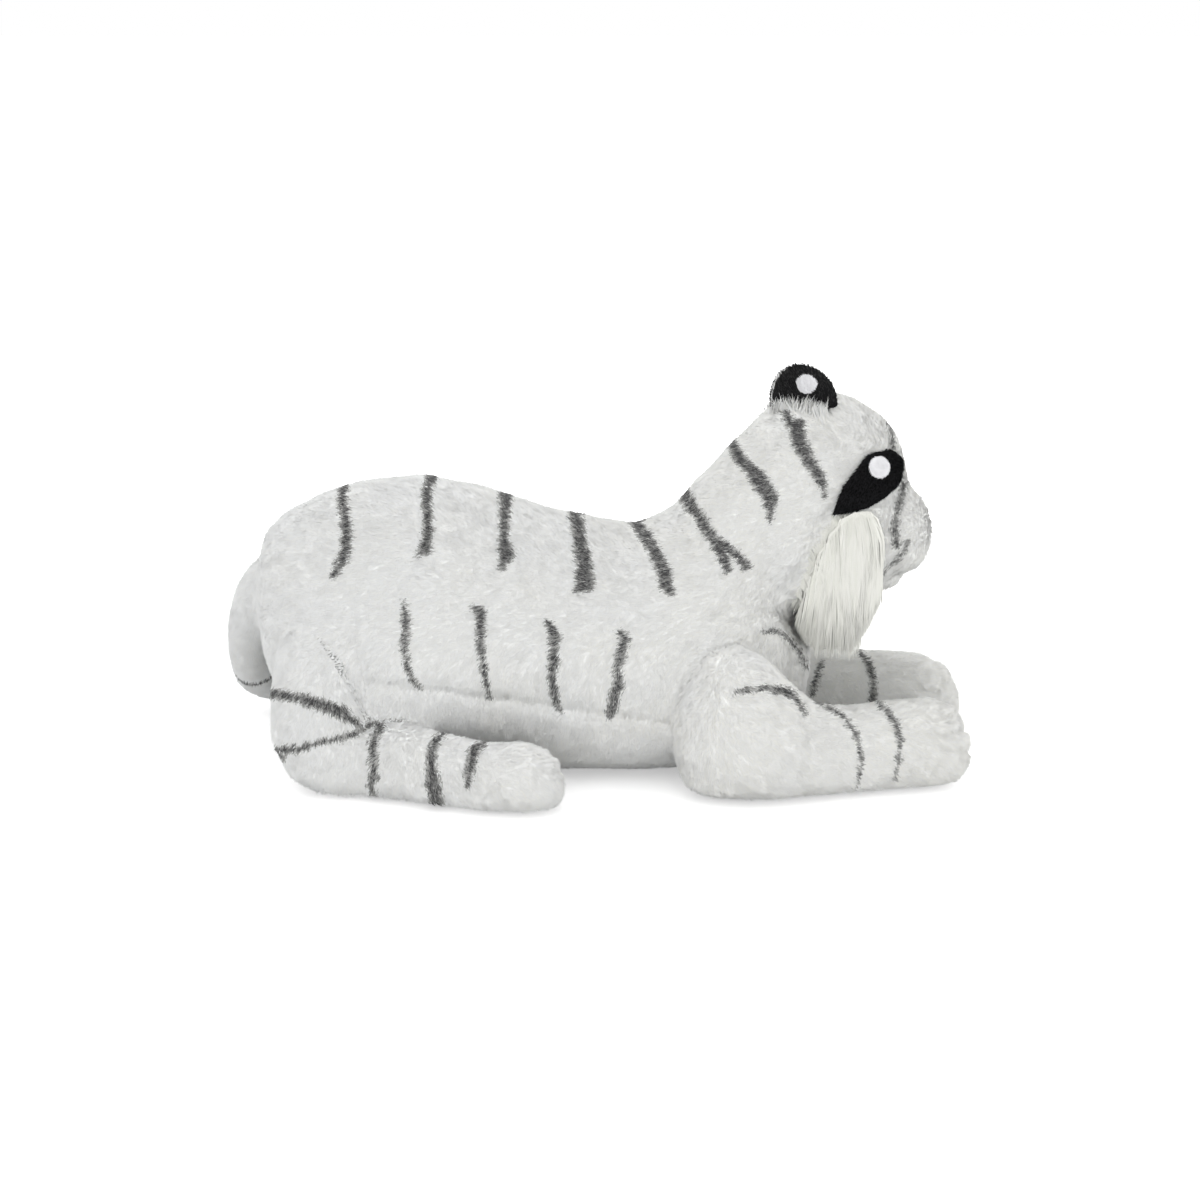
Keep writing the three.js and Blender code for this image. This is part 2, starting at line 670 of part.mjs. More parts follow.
const tiger = group(torso, ...legsOn("left", forelegLeft), legsRight, tailGroup, headGroup);

export default tiger;
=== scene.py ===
import itertools
import math
from functools import partial

import bpy
import numpy as np
from mathutils import Matrix, Vector
from mathutils.bvhtree import BVHTree


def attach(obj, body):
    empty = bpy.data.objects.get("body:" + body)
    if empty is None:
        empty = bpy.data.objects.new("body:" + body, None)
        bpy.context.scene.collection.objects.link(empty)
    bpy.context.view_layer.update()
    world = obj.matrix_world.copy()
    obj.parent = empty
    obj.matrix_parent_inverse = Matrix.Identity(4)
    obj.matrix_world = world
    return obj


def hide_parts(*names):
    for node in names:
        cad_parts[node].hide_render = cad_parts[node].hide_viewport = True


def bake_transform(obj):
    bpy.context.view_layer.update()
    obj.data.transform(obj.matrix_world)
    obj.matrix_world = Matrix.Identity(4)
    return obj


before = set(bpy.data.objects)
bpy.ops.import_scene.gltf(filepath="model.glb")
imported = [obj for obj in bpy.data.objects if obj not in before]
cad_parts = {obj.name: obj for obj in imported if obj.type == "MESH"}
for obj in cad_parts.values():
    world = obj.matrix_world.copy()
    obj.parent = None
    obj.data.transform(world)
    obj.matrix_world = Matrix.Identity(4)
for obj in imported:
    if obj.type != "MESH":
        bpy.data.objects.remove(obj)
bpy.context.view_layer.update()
MM = 0.001
rng = np.random.default_rng(594)  # places the pile's roots, piece after piece

# ---- the photograph's camera, which also places the stripes and folds ----
PHOTO = 1200
LENS = 77.6
SENSOR = 36.0
AIM = np.array([-2.5, 0.0, 140.0]) * MM
DISTANCE = 2.2
ELEVATION = math.radians(13.0)
TO_EYE = np.array([0.0, -math.cos(ELEVATION), math.sin(ELEVATION)])
EYE = AIM + DISTANCE * TO_EYE
RIGHT = np.array([1.0, 0.0, 0.0])
UP = np.array([0.0, math.sin(ELEVATION), math.cos(ELEVATION)])
FOCAL = LENS / SENSOR * PHOTO

camera_data = bpy.data.cameras.new("camera")
camera_data.lens = LENS
camera_data.sensor_width = SENSOR
camera_data.clip_end = 50
camera = bpy.data.objects.new("camera", camera_data)
camera.location = EYE
camera.rotation_euler = (math.pi / 2 - ELEVATION, 0, 0)
bpy.context.collection.objects.link(camera)
bpy.context.scene.camera = camera


def in_photo(points):
    """Where points land in the photograph, in its pixels."""
    off = points - EYE
    depth = -(off @ TO_EYE)
    return np.stack([PHOTO / 2 + off @ RIGHT / depth * FOCAL, PHOTO / 2 - off @ UP / depth * FOCAL], -1)


# ---- the head's own frame, as in the CAD source ----
HEAD_MIDDLE = Vector((0.150, 0, 0.216))
HEAD_TILT = math.radians(-10)
HEAD = Matrix.Translation(HEAD_MIDDLE) @ Matrix.Rotation(HEAD_TILT, 4, "X") @ Matrix.Translation(-HEAD_MIDDLE)
NECK = Vector((0.115, 0, 0.184))
NECK_RISE = math.radians(38)
NECK_AXIS = Vector((math.cos(NECK_RISE), 0, math.sin(NECK_RISE)))
STILL = Matrix.Identity(4)


def moved(points, matrix):
    m = np.array(matrix)
    return points @ m[:3, :3].T + m[:3, 3]


def near_side(points, matrix=STILL):
    """The points, with the far side's mirrored to the near side in that frame."""
    own = moved(points, matrix.inverted())
    own[:, 1] = -np.abs(own[:, 1])
    return moved(own, matrix)


def noise(points, seed=0):
    """Smooth random values from -1 to 1 on a lattice of step 1."""
    cell = np.floor(points).astype(np.int64)
    part = points - cell
    part = part * part * (3 - 2 * part)
    total = np.zeros(len(points))
    for corner in itertools.product((0, 1), repeat=3):
        at = cell + np.array(corner)
        h = (at[:, 0] * 73856093) ^ (at[:, 1] * 19349663) ^ (at[:, 2] * 83492791) ^ (seed * 6542989 + 977)
        h = ((h ^ (h >> 15)) * 2246822519) & 0xFFFFFFFF
        h = ((h ^ (h >> 13)) * 3266489917) & 0xFFFFFFFF
        value = ((h ^ (h >> 16)) & 0xFFFF) / 32767.5 - 1
        weight = np.prod(np.where(np.array(corner), part, 1 - part), axis=1)
        total += weight * value
    return total


def nearest_on(line, at):
    """Distance from each photo point to a line of (x, y, width), and the line's width there."""
    best = np.full(len(at), 1e9)
    width = np.zeros(len(at))
    for (x0, y0, w0), (x1, y1, w1) in zip(line, line[1:]):
        a = np.array([x0, y0], float)
        d = np.array([x1, y1], float) - a
        t = np.clip((at - a) @ d / max(d @ d, 1e-9), 0, 1)
        gap = np.linalg.norm(at - a - t[:, None] * d, axis=1)
        nearer = gap < best
        best[nearer] = gap[nearer]
        width[nearer] = (w0 + (w1 - w0) * t)[nearer]
    return best, width


# ---- stripes, as lines of (x, y, width) in the photograph's pixels ----
STRIPES = {
    "body": [
        [
            (344, 486, 9), (343, 500, 9), (346, 520, 9), (347, 536, 9),
            (346, 552, 10), (340, 566, 9), (333, 575, 5),
        ],
        [
            (434, 468, 13), (431, 478, 12), (427, 491, 8), (428, 520, 8),
            (427, 540, 9), (425, 549, 13), (418, 555, 4),
        ],
        [(506, 488, 12), (506, 500, 12), (504, 520, 9), (504, 538, 9), (507, 553, 15), (502, 566, 8)],
        [(570, 508, 8), (578, 524, 12), (581, 545, 12), (585, 566, 15), (584, 584, 19), (576, 590, 5)],
        [(631, 516, 8), (642, 531, 11), (653, 548, 12), (664, 570, 14), (667, 586, 13), (672, 593, 4)],
        [(684, 494, 13), (690, 504, 12), (700, 518, 9), (709, 534, 10), (720, 547, 13), (727, 568, 8)],
        [(722, 545, 10), (735, 553, 9), (746, 566, 7)],
        [(404, 602, 4), (406, 619, 7), (404, 644, 6), (406, 664, 5), (412, 680, 4), (420, 688, 2)],
        [(474, 607, 4), (481, 611, 9), (481, 626, 8), (481, 646, 7), (484, 672, 6), (489, 697, 3)],
        [
            (547, 621, 3), (552, 629, 9), (555, 638, 11), (554, 657, 9),
            (552, 680, 7), (556, 700, 6), (561, 712, 3),
        ],
        [
            (618, 632, 4), (625, 639, 11), (621, 652, 9), (618, 668, 8),
            (618, 686, 9), (613, 703, 10), (609, 716, 7),
        ],
        [(763, 632, 1), (777, 631, 2), (789, 639, 3), (798, 651, 2), (807, 667, 3)],
    ],
    "head": [
        [(776, 402, 7), (785, 411, 8), (790, 424, 6)],
        [(797, 425, 13), (800, 442, 15), (808, 458, 12), (816, 471, 10), (822, 482, 8), (825, 497, 3)],
        [
            (727, 436, 11), (734, 446, 11), (740, 459, 10), (753, 471, 12),
            (763, 485, 17), (771, 497, 15), (770, 520, 4),
        ],
        [(889, 424, 3), (892, 436, 3), (893, 447, 2)],
        [(904, 484, 5), (900, 499, 4), (896, 518, 5), (895, 534, 6), (897, 546, 5)],
        [(908, 542, 1), (904, 550, 1), (896, 561, 2), (886, 569, 2), (875, 578, 2), (868, 584, 1)],
    ],
    "foreleg": [
        [
            (733, 696, 2), (747, 690, 4), (765, 688, 4), (780, 690, 7),
            (788, 692, 8), (797, 700, 4), (805, 714, 3),
        ],
        [
            (815, 702, 1), (832, 709, 3), (843, 717, 4), (855, 733, 4),
            (859, 747, 3), (862, 764, 2), (856, 788, 1),
        ],
        [(874, 699, 2), (887, 712, 5), (896, 724, 5), (900, 741, 4), (899, 758, 3), (894, 779, 1)],
    ],
    "far_foreleg": [
        [(858, 648, 3), (862, 656, 4), (869, 665, 6), (873, 679, 7), (873, 697, 6), (870, 712, 3)],
        [(821, 664, 3), (818, 672, 4), (815, 682, 6), (812, 695, 4)],
    ],
    "hind_leg": [
        [
            (258, 694, 4), (277, 694, 10), (294, 697, 8), (308, 701, 11),
            (328, 707, 13), (344, 714, 11), (363, 728, 4),
        ],
        [(275, 751, 7), (299, 749, 6), (320, 742, 4), (338, 739, 5), (358, 732, 4), (376, 721, 3)],
        [(275, 750, 7), (282, 757, 4)],
        [(380, 727, 9), (373, 744, 7), (373, 761, 6), (375, 775, 7), (370, 786, 4), (376, 797, 4)],
        [(446, 729, 6), (436, 741, 8), (431, 754, 9), (431, 769, 10), (434, 786, 13), (436, 804, 12)],
        [(484, 742, 6), (474, 751, 10), (470, 767, 9), (468, 785, 5)],
        # This mark is partly painted shade for the crease at the haunch's front, and partly a stripe's pile
        # lying in that crease.
        [(368, 719, 3), (384, 716, 5), (400, 718, 3)],
    ],
}

MUZZLE_LINES = STRIPES["head"][-2:]  # these stop short of the muzzle's middle

# Folds and sewn lines, as lines of (x, y, reach) in the same pixels, each after its depth in mm.
FOLDS = {
    "body": [
        (4.0, [
            (362, 685, 5), (399, 689, 5), (437, 692, 5), (475, 698, 5),
            (520, 703, 5), (603, 716, 5), (690, 729, 5),
        ]),
        (2.6, [(352, 612, 4), (353, 641, 6), (359, 670, 6), (366, 692, 6)]),
        (3.4, [(760, 546, 5), (774, 570, 5), (788, 586, 5), (797, 594, 5)]),
        (1.5, [(700, 622, 5), (712, 618, 5), (730, 612, 5)]),
        (1.2, [(540, 640, 6), (548, 662, 6), (536, 690, 6)]),
        (1.2, [(640, 652, 6), (652, 672, 6), (676, 688, 6)]),
    ],
    "head": [
        (3.8, [(833, 512, 5), (822, 528, 5), (816, 546, 5), (809, 561, 5), (800, 574, 5), (793, 584, 5)]),
        (1.4, [(838, 430, 6), (850, 446, 6), (846, 458, 6)]),
    ],
    "foreleg": [
        (2.0, [(733, 699, 6), (765, 694, 6), (790, 697, 5), (805, 712, 4), (807, 724, 4)]),
        (1.2, [(735, 735, 7), (760, 720, 7), (785, 724, 7)]),
        (3.4, [(957, 708, 4), (948, 716, 4), (938, 718, 4), (930, 714, 3)]),
        (3.4, [(969, 728, 4), (956, 732, 4), (944, 733, 3)]),
        (3.2, [(973, 750, 4), (958, 752, 4), (946, 750, 3)]),
    ],
    "hind_leg": [
        (2.2, [(376, 722, 5), (363, 730, 5), (340, 738, 5), (322, 744, 5)]),
        (1.5, [(380, 735, 5), (366, 752, 6), (345, 768, 6), (320, 776, 6)]),
        (1.4, [(400, 745, 6), (414, 757, 6), (408, 775, 6)]),
        (2.0, [(556, 752, 4), (545, 756, 4), (535, 757, 3)]),
        (2.0, [(563, 769, 4), (549, 771, 4), (537, 771, 3)]),
    ],
}


# Joins that the pile hides, as (x, y, radius) in the same pixels: the skins are drawn smooth there.
EASED = [(296, 612, 46), (322, 660, 30), (758, 604, 34)]
EASED_EDGE = 14

STRIPE_REACH = 14  # pixels from its line, past which a stripe has ended
STRIPE_EDGE = 6.5  # pixels over which a stripe fades out
FINE_GRAIN = 1.5 * MM  # how the stripes' edges are ragged, across the pile and along it
LONG_GRAIN = 6 * MM
MUZZLE_HALF = 24 * MM  # the muzzle's middle, which stays white
MUZZLE_FADE = 9


def eased(points):
    """How much of the extra smoothing each point gets, from 0 to 1."""
    at = in_photo(near_side(points))
    share = np.zeros(len(points))
    for x, y, radius in EASED:
        within = radius - np.hypot(at[:, 0] - x, at[:, 1] - y)
        share = np.maximum(share, np.clip(within / EASED_EDGE + 0.5, 0, 1))
    return share


def striped(points, form, matrix=STILL, along=(1, 0, 0)):
    """How dark the pile is at each point, from 0 to 1."""
    dark = np.zeros(len(points))
    near = points if form == "far_foreleg" else near_side(points, matrix)
    at = in_photo(near)
    axis = np.array(along, float)
    run = near @ axis
    fine = near / FINE_GRAIN - np.outer(run, axis) * (1 / FINE_GRAIN - 1 / LONG_GRAIN)
    ragged = noise(fine, 3) * 1.5 + noise(near / (5 * MM), 4) * 1.3
    for line in STRIPES.get(form, []):
        ends = np.array(line)[:, :2]
        close = (at > ends.min(0) - STRIPE_REACH).all(1) & (at < ends.max(0) + STRIPE_REACH).all(1)
        if not close.any():
            continue
        gap, width = nearest_on(line, at[close])
        if line in MUZZLE_LINES:
            gap = gap + MUZZLE_FADE * (np.abs(moved(near[close], matrix.inverted())[:, 1]) < MUZZLE_HALF)
        share = np.clip((width / 2 + 0.1 - gap + ragged[close]) / STRIPE_EDGE + 0.5, 0, 1)
        dark[close] = np.maximum(dark[close], share)
    return dark


def folded(points, form, matrix=STILL):
    """How deep each point is drawn in by folds and seams, in metres."""
    at = in_photo(near_side(points, matrix))
    depth = np.zeros(len(points))
    for deep, line in FOLDS.get(form, []):
        gap, reach = nearest_on(line, at)
        depth = np.maximum(depth, deep * MM * np.exp(-((gap / np.maximum(reach, 1)) ** 2)))
    return depth


# ---- materials ----
def finish(name, colour, rough=0.95, sheen=0.0, gloss=0.15):
    material = bpy.data.materials.new(name)
    material.use_nodes = True
    shader = material.node_tree.nodes["Principled BSDF"]
    shader.inputs["Base Color"].default_value = (*colour, 1)
    shader.inputs["Roughness"].default_value = rough
    shader.inputs["Specular IOR Level"].default_value = gloss
    shader.inputs["Sheen Weight"].default_value = sheen
    return material


def backing(name, light, dark, grain=900.0, bump=0.5):
    """The pile's foot: its colour follows the stripe painted on the mesh, with a fine nap."""
    material = finish(name, light)
    tree = material.node_tree
    shader = tree.nodes["Principled BSDF"]
    stripe = tree.nodes.new("ShaderNodeAttribute")
    stripe.attribute_name = "stripe"
    mix = tree.nodes.new("ShaderNodeMix")
    mix.data_type = "RGBA"
    mix.inputs["A"].default_value = (*light, 1)
    mix.inputs["B"].default_value = (*dark, 1)
    tree.links.new(stripe.outputs["Fac"], mix.inputs["Factor"])
    tree.links.new(mix.outputs["Result"], shader.inputs["Base Color"])
    place = tree.nodes.new("ShaderNodeTexCoord")
    nap = tree.nodes.new("ShaderNodeTexNoise")
    nap.inputs["Scale"].default_value = grain
    nap.inputs["Detail"].default_value = 3
    relief = tree.nodes.new("ShaderNodeBump")
    relief.inputs["Strength"].default_value = bump
    relief.inputs["Distance"].default_value = 0.001
    tree.links.new(place.outputs["Object"], nap.inputs["Vector"])
    tree.links.new(nap.outputs["Fac"], relief.inputs["Height"])
    tree.links.new(relief.outputs["Normal"], shader.inputs["Normal"])
    return material


WHITE_BACK = backing("white backing", (0.87, 0.875, 0.86), (0.28, 0.28, 0.275))
# The ruff's backing is darker than its hair: painted shade, where the skin shows between the hairs.
CREAM_BACK = backing("cream backing", (0.70, 0.70, 0.655), (0.3, 0.3, 0.28))
BLACK_BACK = backing("black backing", (0.008, 0.008, 0.009), (0.8, 0.8, 0.82))
WHITES = [
    finish("white pile cool", (0.895, 0.905, 0.90), sheen=0.1),
    finish("white pile", (0.905, 0.91, 0.89), sheen=0.1),
    finish("white pile warm", (0.91, 0.91, 0.87), sheen=0.1),
]
GREYS = [
    finish("stripe pile dark", (0.085, 0.085, 0.086)),
    finish("stripe pile", (0.18, 0.18, 0.178)),
    finish("stripe pile light", (0.33, 0.33, 0.32)),
    finish("stripe pile faint", (0.55, 0.55, 0.535)),
]
CREAMS = [
    finish("cream hair pale", (0.81, 0.81, 0.765), rough=0.9),
    finish("cream hair", (0.795, 0.795, 0.745), rough=0.9),
    finish("cream hair deep", (0.775, 0.78, 0.72), rough=0.9),
]
BLACKS = [
    finish("black pile", (0.002, 0.002, 0.002), gloss=0.02),
    finish("black pile worn", (0.005, 0.005, 0.005), gloss=0.02),
]
# The ear blacks are lighter than the eye's black pile: painted sheen, for the light that the ears' backs
# catch. The two are mixed at random, strand by strand.
EAR_BLACKS = [
    finish("ear pile black", (0.010, 0.010, 0.010), rough=0.9),
    finish("ear pile painted sheen", (0.034, 0.034, 0.034), rough=0.9),
]
BRIGHTS = [finish("bright pile", (0.86, 0.86, 0.88), sheen=0.2)]


# ---- meshes ----
def arrays(mesh):
    count = len(mesh.vertices)
    points = np.empty(count * 3, np.float32)
    mesh.vertices.foreach_get("co", points)
    return points.reshape(-1, 3).astype(float)


def triangles(mesh):
    mesh.calc_loop_triangles()
    tris = np.empty(len(mesh.loop_triangles) * 3, np.int32)
    mesh.loop_triangles.foreach_get("vertices", tris)
    return tris.reshape(-1, 3)


def normals_of(mesh):
    out = np.empty(len(mesh.vertices) * 3, np.float32)
    mesh.vertices.foreach_get("normal", out)
    return out.reshape(-1, 3).astype(float)


def put(mesh, points):
    mesh.vertices.foreach_set("co", points.astype(np.float32).ravel())
    mesh.update()


def make_mesh(name, points, sizes, corners, slots, materials):
    """A mesh from faces of the given sizes, whose corners follow each other."""
    mesh = bpy.data.meshes.new(name)
    mesh.vertices.add(len(points))
    mesh.vertices.foreach_set("co", points.astype(np.float32).ravel())
    mesh.loops.add(len(corners))
    mesh.loops.foreach_set("vertex_index", corners.astype(np.int32))
    mesh.polygons.add(len(sizes))
    starts = np.concatenate([[0], np.cumsum(sizes)[:-1]])
    mesh.polygons.foreach_set("loop_start", starts.astype(np.int32))
    mesh.polygons.foreach_set("material_index", slots.astype(np.int32))
    mesh.polygons.foreach_set("use_smooth", np.ones(len(sizes), bool))
    for material in materials:
        mesh.materials.append(material)
    mesh.update(calc_edges=True)
    mesh.validate()
    return mesh


def link(name, mesh):
    made = bpy.data.objects.new(name, mesh)
    bpy.context.collection.objects.link(made)
    return made


def largest_shell(points, faces):
    """Only the faces of the largest closed shell, which is the outermost one."""
    owner = np.arange(len(points))
    edges = np.concatenate([faces[:, [0, 1]], faces[:, [1, 2]], faces[:, [2, 3]]])
    while True:
        low = np.minimum(owner[edges[:, 0]], owner[edges[:, 1]])
        new = owner.copy()
        np.minimum.at(new, edges[:, 0], low)
        np.minimum.at(new, edges[:, 1], low)
        new = new[new]
        if (new == owner).all():
            break
        owner = new
    names, counts = np.unique(owner, return_counts=True)
    keep = owner == names[np.argmax(counts)]
    index = np.cumsum(keep) - 1
    chosen = faces[keep[faces[:, 0]]]
    return points[keep], index[chosen]


def relax(points, edges, rounds):
    """Smooths: each round draws points half way to the middle of their neighbours."""
    count = np.bincount(edges.ravel(), minlength=len(points)).astype(float)[:, None]
    for _ in range(rounds):
        total = np.zeros_like(points)
        for axis in range(3):
            total[:, axis] = np.bincount(edges[:, 0], points[edges[:, 1], axis], len(points))
            total[:, axis] += np.bincount(edges[:, 1], points[edges[:, 0], axis], len(points))
        points = (points + total / count) / 2
    return points


def tucked(points, facing, tree, depth, reach):
    """The points, set so deep under a surface if they stand higher than that or lie just below it."""
    points = points.copy()
    for i, (point, own) in enumerate(zip(points, facing)):
        found, normal, _, _ = tree.find_nearest(Vector(point))
        sunk = (found - Vector(point)).dot(normal)
        if sunk < depth or (sunk < reach and Vector(own).dot(normal) > 0.2):
            points[i] = found - normal * depth
    return points


EASED_ROUNDS = 70  # extra smoothing where joins are eased
LUMPS = ((0.9, 34 * MM, 7), (0.5, 14 * MM, 8))  # height in mm, size and seed of the filling's unevenness
TUCK_DEPTH = 0.2 * MM  # how deep a skin lies under the surface that carries the pile
TUCK_REACH = 8 * MM
LOWEST_SKIN = 0.4 * MM  # height over the floor
LOWEST_BLADE = 0.3 * MM


def skin(name, nodes, voxel, rounds, inset, folds=None, lumps=1.0, material=None, paint=None, under=None):
    """One smooth closed skin round some CAD nodes, drawn in to leave room for its pile.

    voxel, inset and lumps are in mm. folds gives the depth of folds at points, paint how dark they
    are, and under is the tree of a surface that the skin stays under.
    """
    points, faces, base = [], [], 0
    for node in nodes:
        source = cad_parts[node]
        own = moved(arrays(source.data), source.matrix_world)
        points.append(own)
        faces.append(triangles(source.data) + base)
        base += len(own)
    mesh = bpy.data.meshes.new(name + " raw")
    mesh.from_pydata(np.concatenate(points).tolist(), [], np.concatenate(faces).tolist())
    raw = link(name + " raw", mesh)
    remesh = raw.modifiers.new("remesh", "REMESH")
    remesh.mode = "VOXEL"
    remesh.voxel_size = voxel * MM
    bpy.context.view_layer.update()
    made = bpy.data.meshes.new_from_object(raw.evaluated_get(bpy.context.evaluated_depsgraph_get()))
    bpy.data.objects.remove(raw)
    corners = np.empty(len(made.loops), np.int32)
    made.loops.foreach_get("vertex_index", corners)
    quads = corners.reshape(-1, 4)
    points, quads = largest_shell(arrays(made), quads)
    edges = np.concatenate([quads[:, [0, 1]], quads[:, [1, 2]], quads[:, [2, 3]], quads[:, [3, 0]]])
    edges = np.unique(np.sort(edges, axis=1), axis=0)
    points = relax(points, edges, rounds)
    if folds:
        share = eased(points)[:, None]
        points = points * (1 - share) + relax(points, edges, EASED_ROUNDS) * share
    sizes = np.full(len(quads), 4)
    plain = np.zeros(len(quads))
    mesh = make_mesh(name, points, sizes, quads.ravel(), plain, [material or WHITE_BACK])
    push = np.full(len(points), -inset * MM)
    push += lumps * MM * sum(high * noise(points / size, seed) for high, size, seed in LUMPS)
    if folds:
        push -= folds(points)
    points = points + normals_of(mesh) * push[:, None]
    points = relax(points, edges, 1)
    if under:
        put(mesh, points)
        points = tucked(points, normals_of(mesh), under, TUCK_DEPTH, TUCK_REACH)
    points[:, 2] = np.maximum(points[:, 2], LOWEST_SKIN)
    put(mesh, points)
    dark = paint(points) if paint else np.zeros(len(points))
    stripe = mesh.attributes.new("stripe", "FLOAT", "POINT")
    stripe.data.foreach_set("value", dark.astype(np.float32))
    return link(name, mesh)


def tree_of(piece):
    mesh = piece.data
    return BVHTree.FromPolygons([tuple(p) for p in arrays(mesh)], [tuple(t) for t in triangles(mesh)])


OVERSAMPLED = 3.2  # random places tried for each cell of the spacing


def scattered(piece, spacing, keep=None):
    """Evenly scattered places on a piece, about so many mm apart, with the normals there."""
    mesh = piece.data
    points, tris, normals = arrays(mesh), triangles(mesh), normals_of(mesh)
    a, b, c = points[tris[:, 0]], points[tris[:, 1]], points[tris[:, 2]]
    area = np.linalg.norm(np.cross(b - a, c - a), axis=1) / 2
    wanted = int(OVERSAMPLED * area.sum() / (spacing * MM) ** 2)
    pick = rng.choice(len(tris), wanted, p=area / area.sum())
    u, v = rng.random(wanted), rng.random(wanted)
    over = u + v > 1
    u[over], v[over] = 1 - u[over], 1 - v[over]
    share = np.stack([1 - u - v, u, v], -1)[:, :, None]
    roots = (points[tris[pick]] * share).sum(1)
    facing = (normals[tris[pick]] * share).sum(1)
    facing /= np.linalg.norm(facing, axis=1)[:, None]
    if keep is not None:
        chosen = keep(roots, facing)
        roots, facing = roots[chosen], facing[chosen]
    cells = np.floor(roots / (spacing * MM)).astype(np.int64)
    key = cells[:, 0] * 4000037 + cells[:, 1] * 20011 + cells[:, 2]
    _, first = np.unique(key, return_index=True)
    return roots[first], facing[first]


def unit(vectors):
    return vectors / np.maximum(np.linalg.norm(vectors, axis=-1, keepdims=True), 1e-12)


TAPER = 1.6  # the power by which a blade narrows


def blades(paths, width, facing):
    """Three-sided tapering blades along paths of shape (strands, rings, 3)."""
    rings = paths.shape[1]
    along = unit(np.gradient(paths, axis=1))
    out = np.repeat(facing[:, None, :], rings, axis=1)
    side = unit(np.cross(along, out))
    lift = unit(np.cross(side, along))
    points = []
    for ring in range(rings - 1):
        taper = (1 - (ring / (rings - 1)) ** TAPER) * width[:, None] / 2
        middle = paths[:, ring]
        points.append(middle + side[:, ring] * taper - lift[:, ring] * taper * 0.5)
        points.append(middle + lift[:, ring] * taper)
        points.append(middle - side[:, ring] * taper - lift[:, ring] * taper * 0.5)
    points.append(paths[:, -1])
    points = np.stack(points, 1)
    each = points.shape[1]
    faces = []
    for ring in range(rings - 2):
        low = 3 * ring
        for a, b in ((0, 1), (1, 2), (2, 0)):
            faces.append([low + b, low + a, low + 3 + a, low + 3 + b])
    low = 3 * (rings - 2)
    for a, b in ((0, 1), (1, 2), (2, 0)):
        faces.append([low + b, low + a, each - 1])
    return points.reshape(-1, 3), each, faces


def strand_mesh(name, points, each, faces, slots, materials):
    """A mesh of strands with so many points each. slots holds, for each face, the strands' materials."""
    count = len(points) // each
    offsets = (np.arange(count) * each)[:, None]
    sizes = np.concatenate([np.full(count, len(face)) for face in faces])
    corners = np.concatenate([(offsets + np.array(face)).ravel() for face in faces])
    return make_mesh(name, points, sizes, corners, np.concatenate(slots), materials)


def shade(mesh, normals, each, share):
    """Gives blades of so many points each the normals of what they cover, for that share."""
    blended = unit(normals_of(mesh) * (1 - share) + np.repeat(normals, each, axis=0) * share)
    mesh.normals_split_custom_set_from_vertices(blended.tolist())


# The pile's disorder, as (share, size of its patches, seed). The seeds are the same for each piece, so
# that the nap runs on from one to the next.
SWIRL = (0.35, 11 * MM, 100)
STREAKS = (0.3, 3.5 * MM, 105)
TUFTS = (0.35, 6 * MM, 110)
STRAY = 0.2
TUFT_TILT = 0.3
PILE_SHADE = 0.85  # how far blades take the shading of the surface under them
ROOT_DEPTH = 0.4  # in mm


def drift(points, size, seed):
    """Smooth random vectors in patches of a size."""
    return np.stack([noise(points / size, seed + k) for k in range(3)], -1)


def pile(name, roots, facing, length, width, lay, lift, materials, choose, seed, rings=1):
    """Short pile: blades that rise from their roots and lie along lay. length and width are in mm."""
    count = len(roots)
    spin = np.random.default_rng(seed)
    swirl, streaks, tuft = (drift(roots, size, first) for _, size, first in (SWIRL, STREAKS, TUFTS))
    flat = lay(roots) + SWIRL[0] * swirl + STREAKS[0] * streaks + STRAY * spin.normal(size=(count, 3))
    flat -= (flat * facing).sum(1)[:, None] * facing
    flat = unit(flat)
    rise = lift * (1 + 0.25 * spin.normal(size=(count, 1)) + TUFTS[0] * tuft[:, :1])
    start = unit(flat * 0.6 + facing * (rise + 0.25))
    end = unit(flat + facing * rise * 0.8)
    reach = length * MM * (1 + 0.18 * spin.normal(size=(count, 1)))
    steps = np.linspace(0, 1, rings + 1)
    paths = [roots - facing * ROOT_DEPTH * MM]
    for low, high in zip(steps, steps[1:]):
        middle = (low + high) / 2
        paths.append(paths[-1] + (start * (1 - middle) + end * middle) * reach * (high - low))
    paths = np.stack(paths, 1)
    wide = width * MM * (1 + 0.2 * spin.normal(size=count))
    points, each, faces = blades(paths, wide, facing)
    points[:, 2] = np.maximum(points[:, 2], LOWEST_BLADE)
    spread = spin.random(count)
    blocks = points.reshape(count, each, 3)
    slots = [choose(blocks[:, face].mean(1), spread) for face in faces]
    mesh = strand_mesh(name, points, each, faces, slots, materials)
    shade(mesh, unit(facing + TUFT_TILT * tuft), each, PILE_SHADE)
    return link(name, mesh)


def plain_lay(x, y, z):
    direction = np.array([x, y, z], float)
    return lambda roots: np.tile(direction, (len(roots), 1))


# ---- which moving body each place belongs to ----
SIDES = ("right", "left")
TORSO = ["body_side_right", "body_side_left", "belly_panel", "body_stuffing"]
HEAD_NODES = [
    "head_side_right", "head_side_left", "head_stuffing", "muzzle_pad_right", "muzzle_pad_left", "chin",
]
OWNERS = ["torso", "head", "foreleg_right", "foreleg_left", "hind_leg_right", "hind_leg_left", "tail"]
LIMB_NODES = {"torso": TORSO, "head": HEAD_NODES, "tail": ["tail", "tail_stuffing"]}
for side in SIDES:
    LIMB_NODES["foreleg_" + side] = ["foreleg_" + side, "foreleg_stuffing_" + side]
    LIMB_NODES["hind_leg_" + side] = [
        "haunch_" + side, "haunch_stuffing_" + side, "hind_foot_" + side, "hind_foot_stuffing_" + side,
    ]
FORMS = {"torso": "body", "head": "head", "tail": "tail"}
FORMS |= {limb: limb.rsplit("_", 1)[0] for limb in OWNERS if limb not in FORMS}


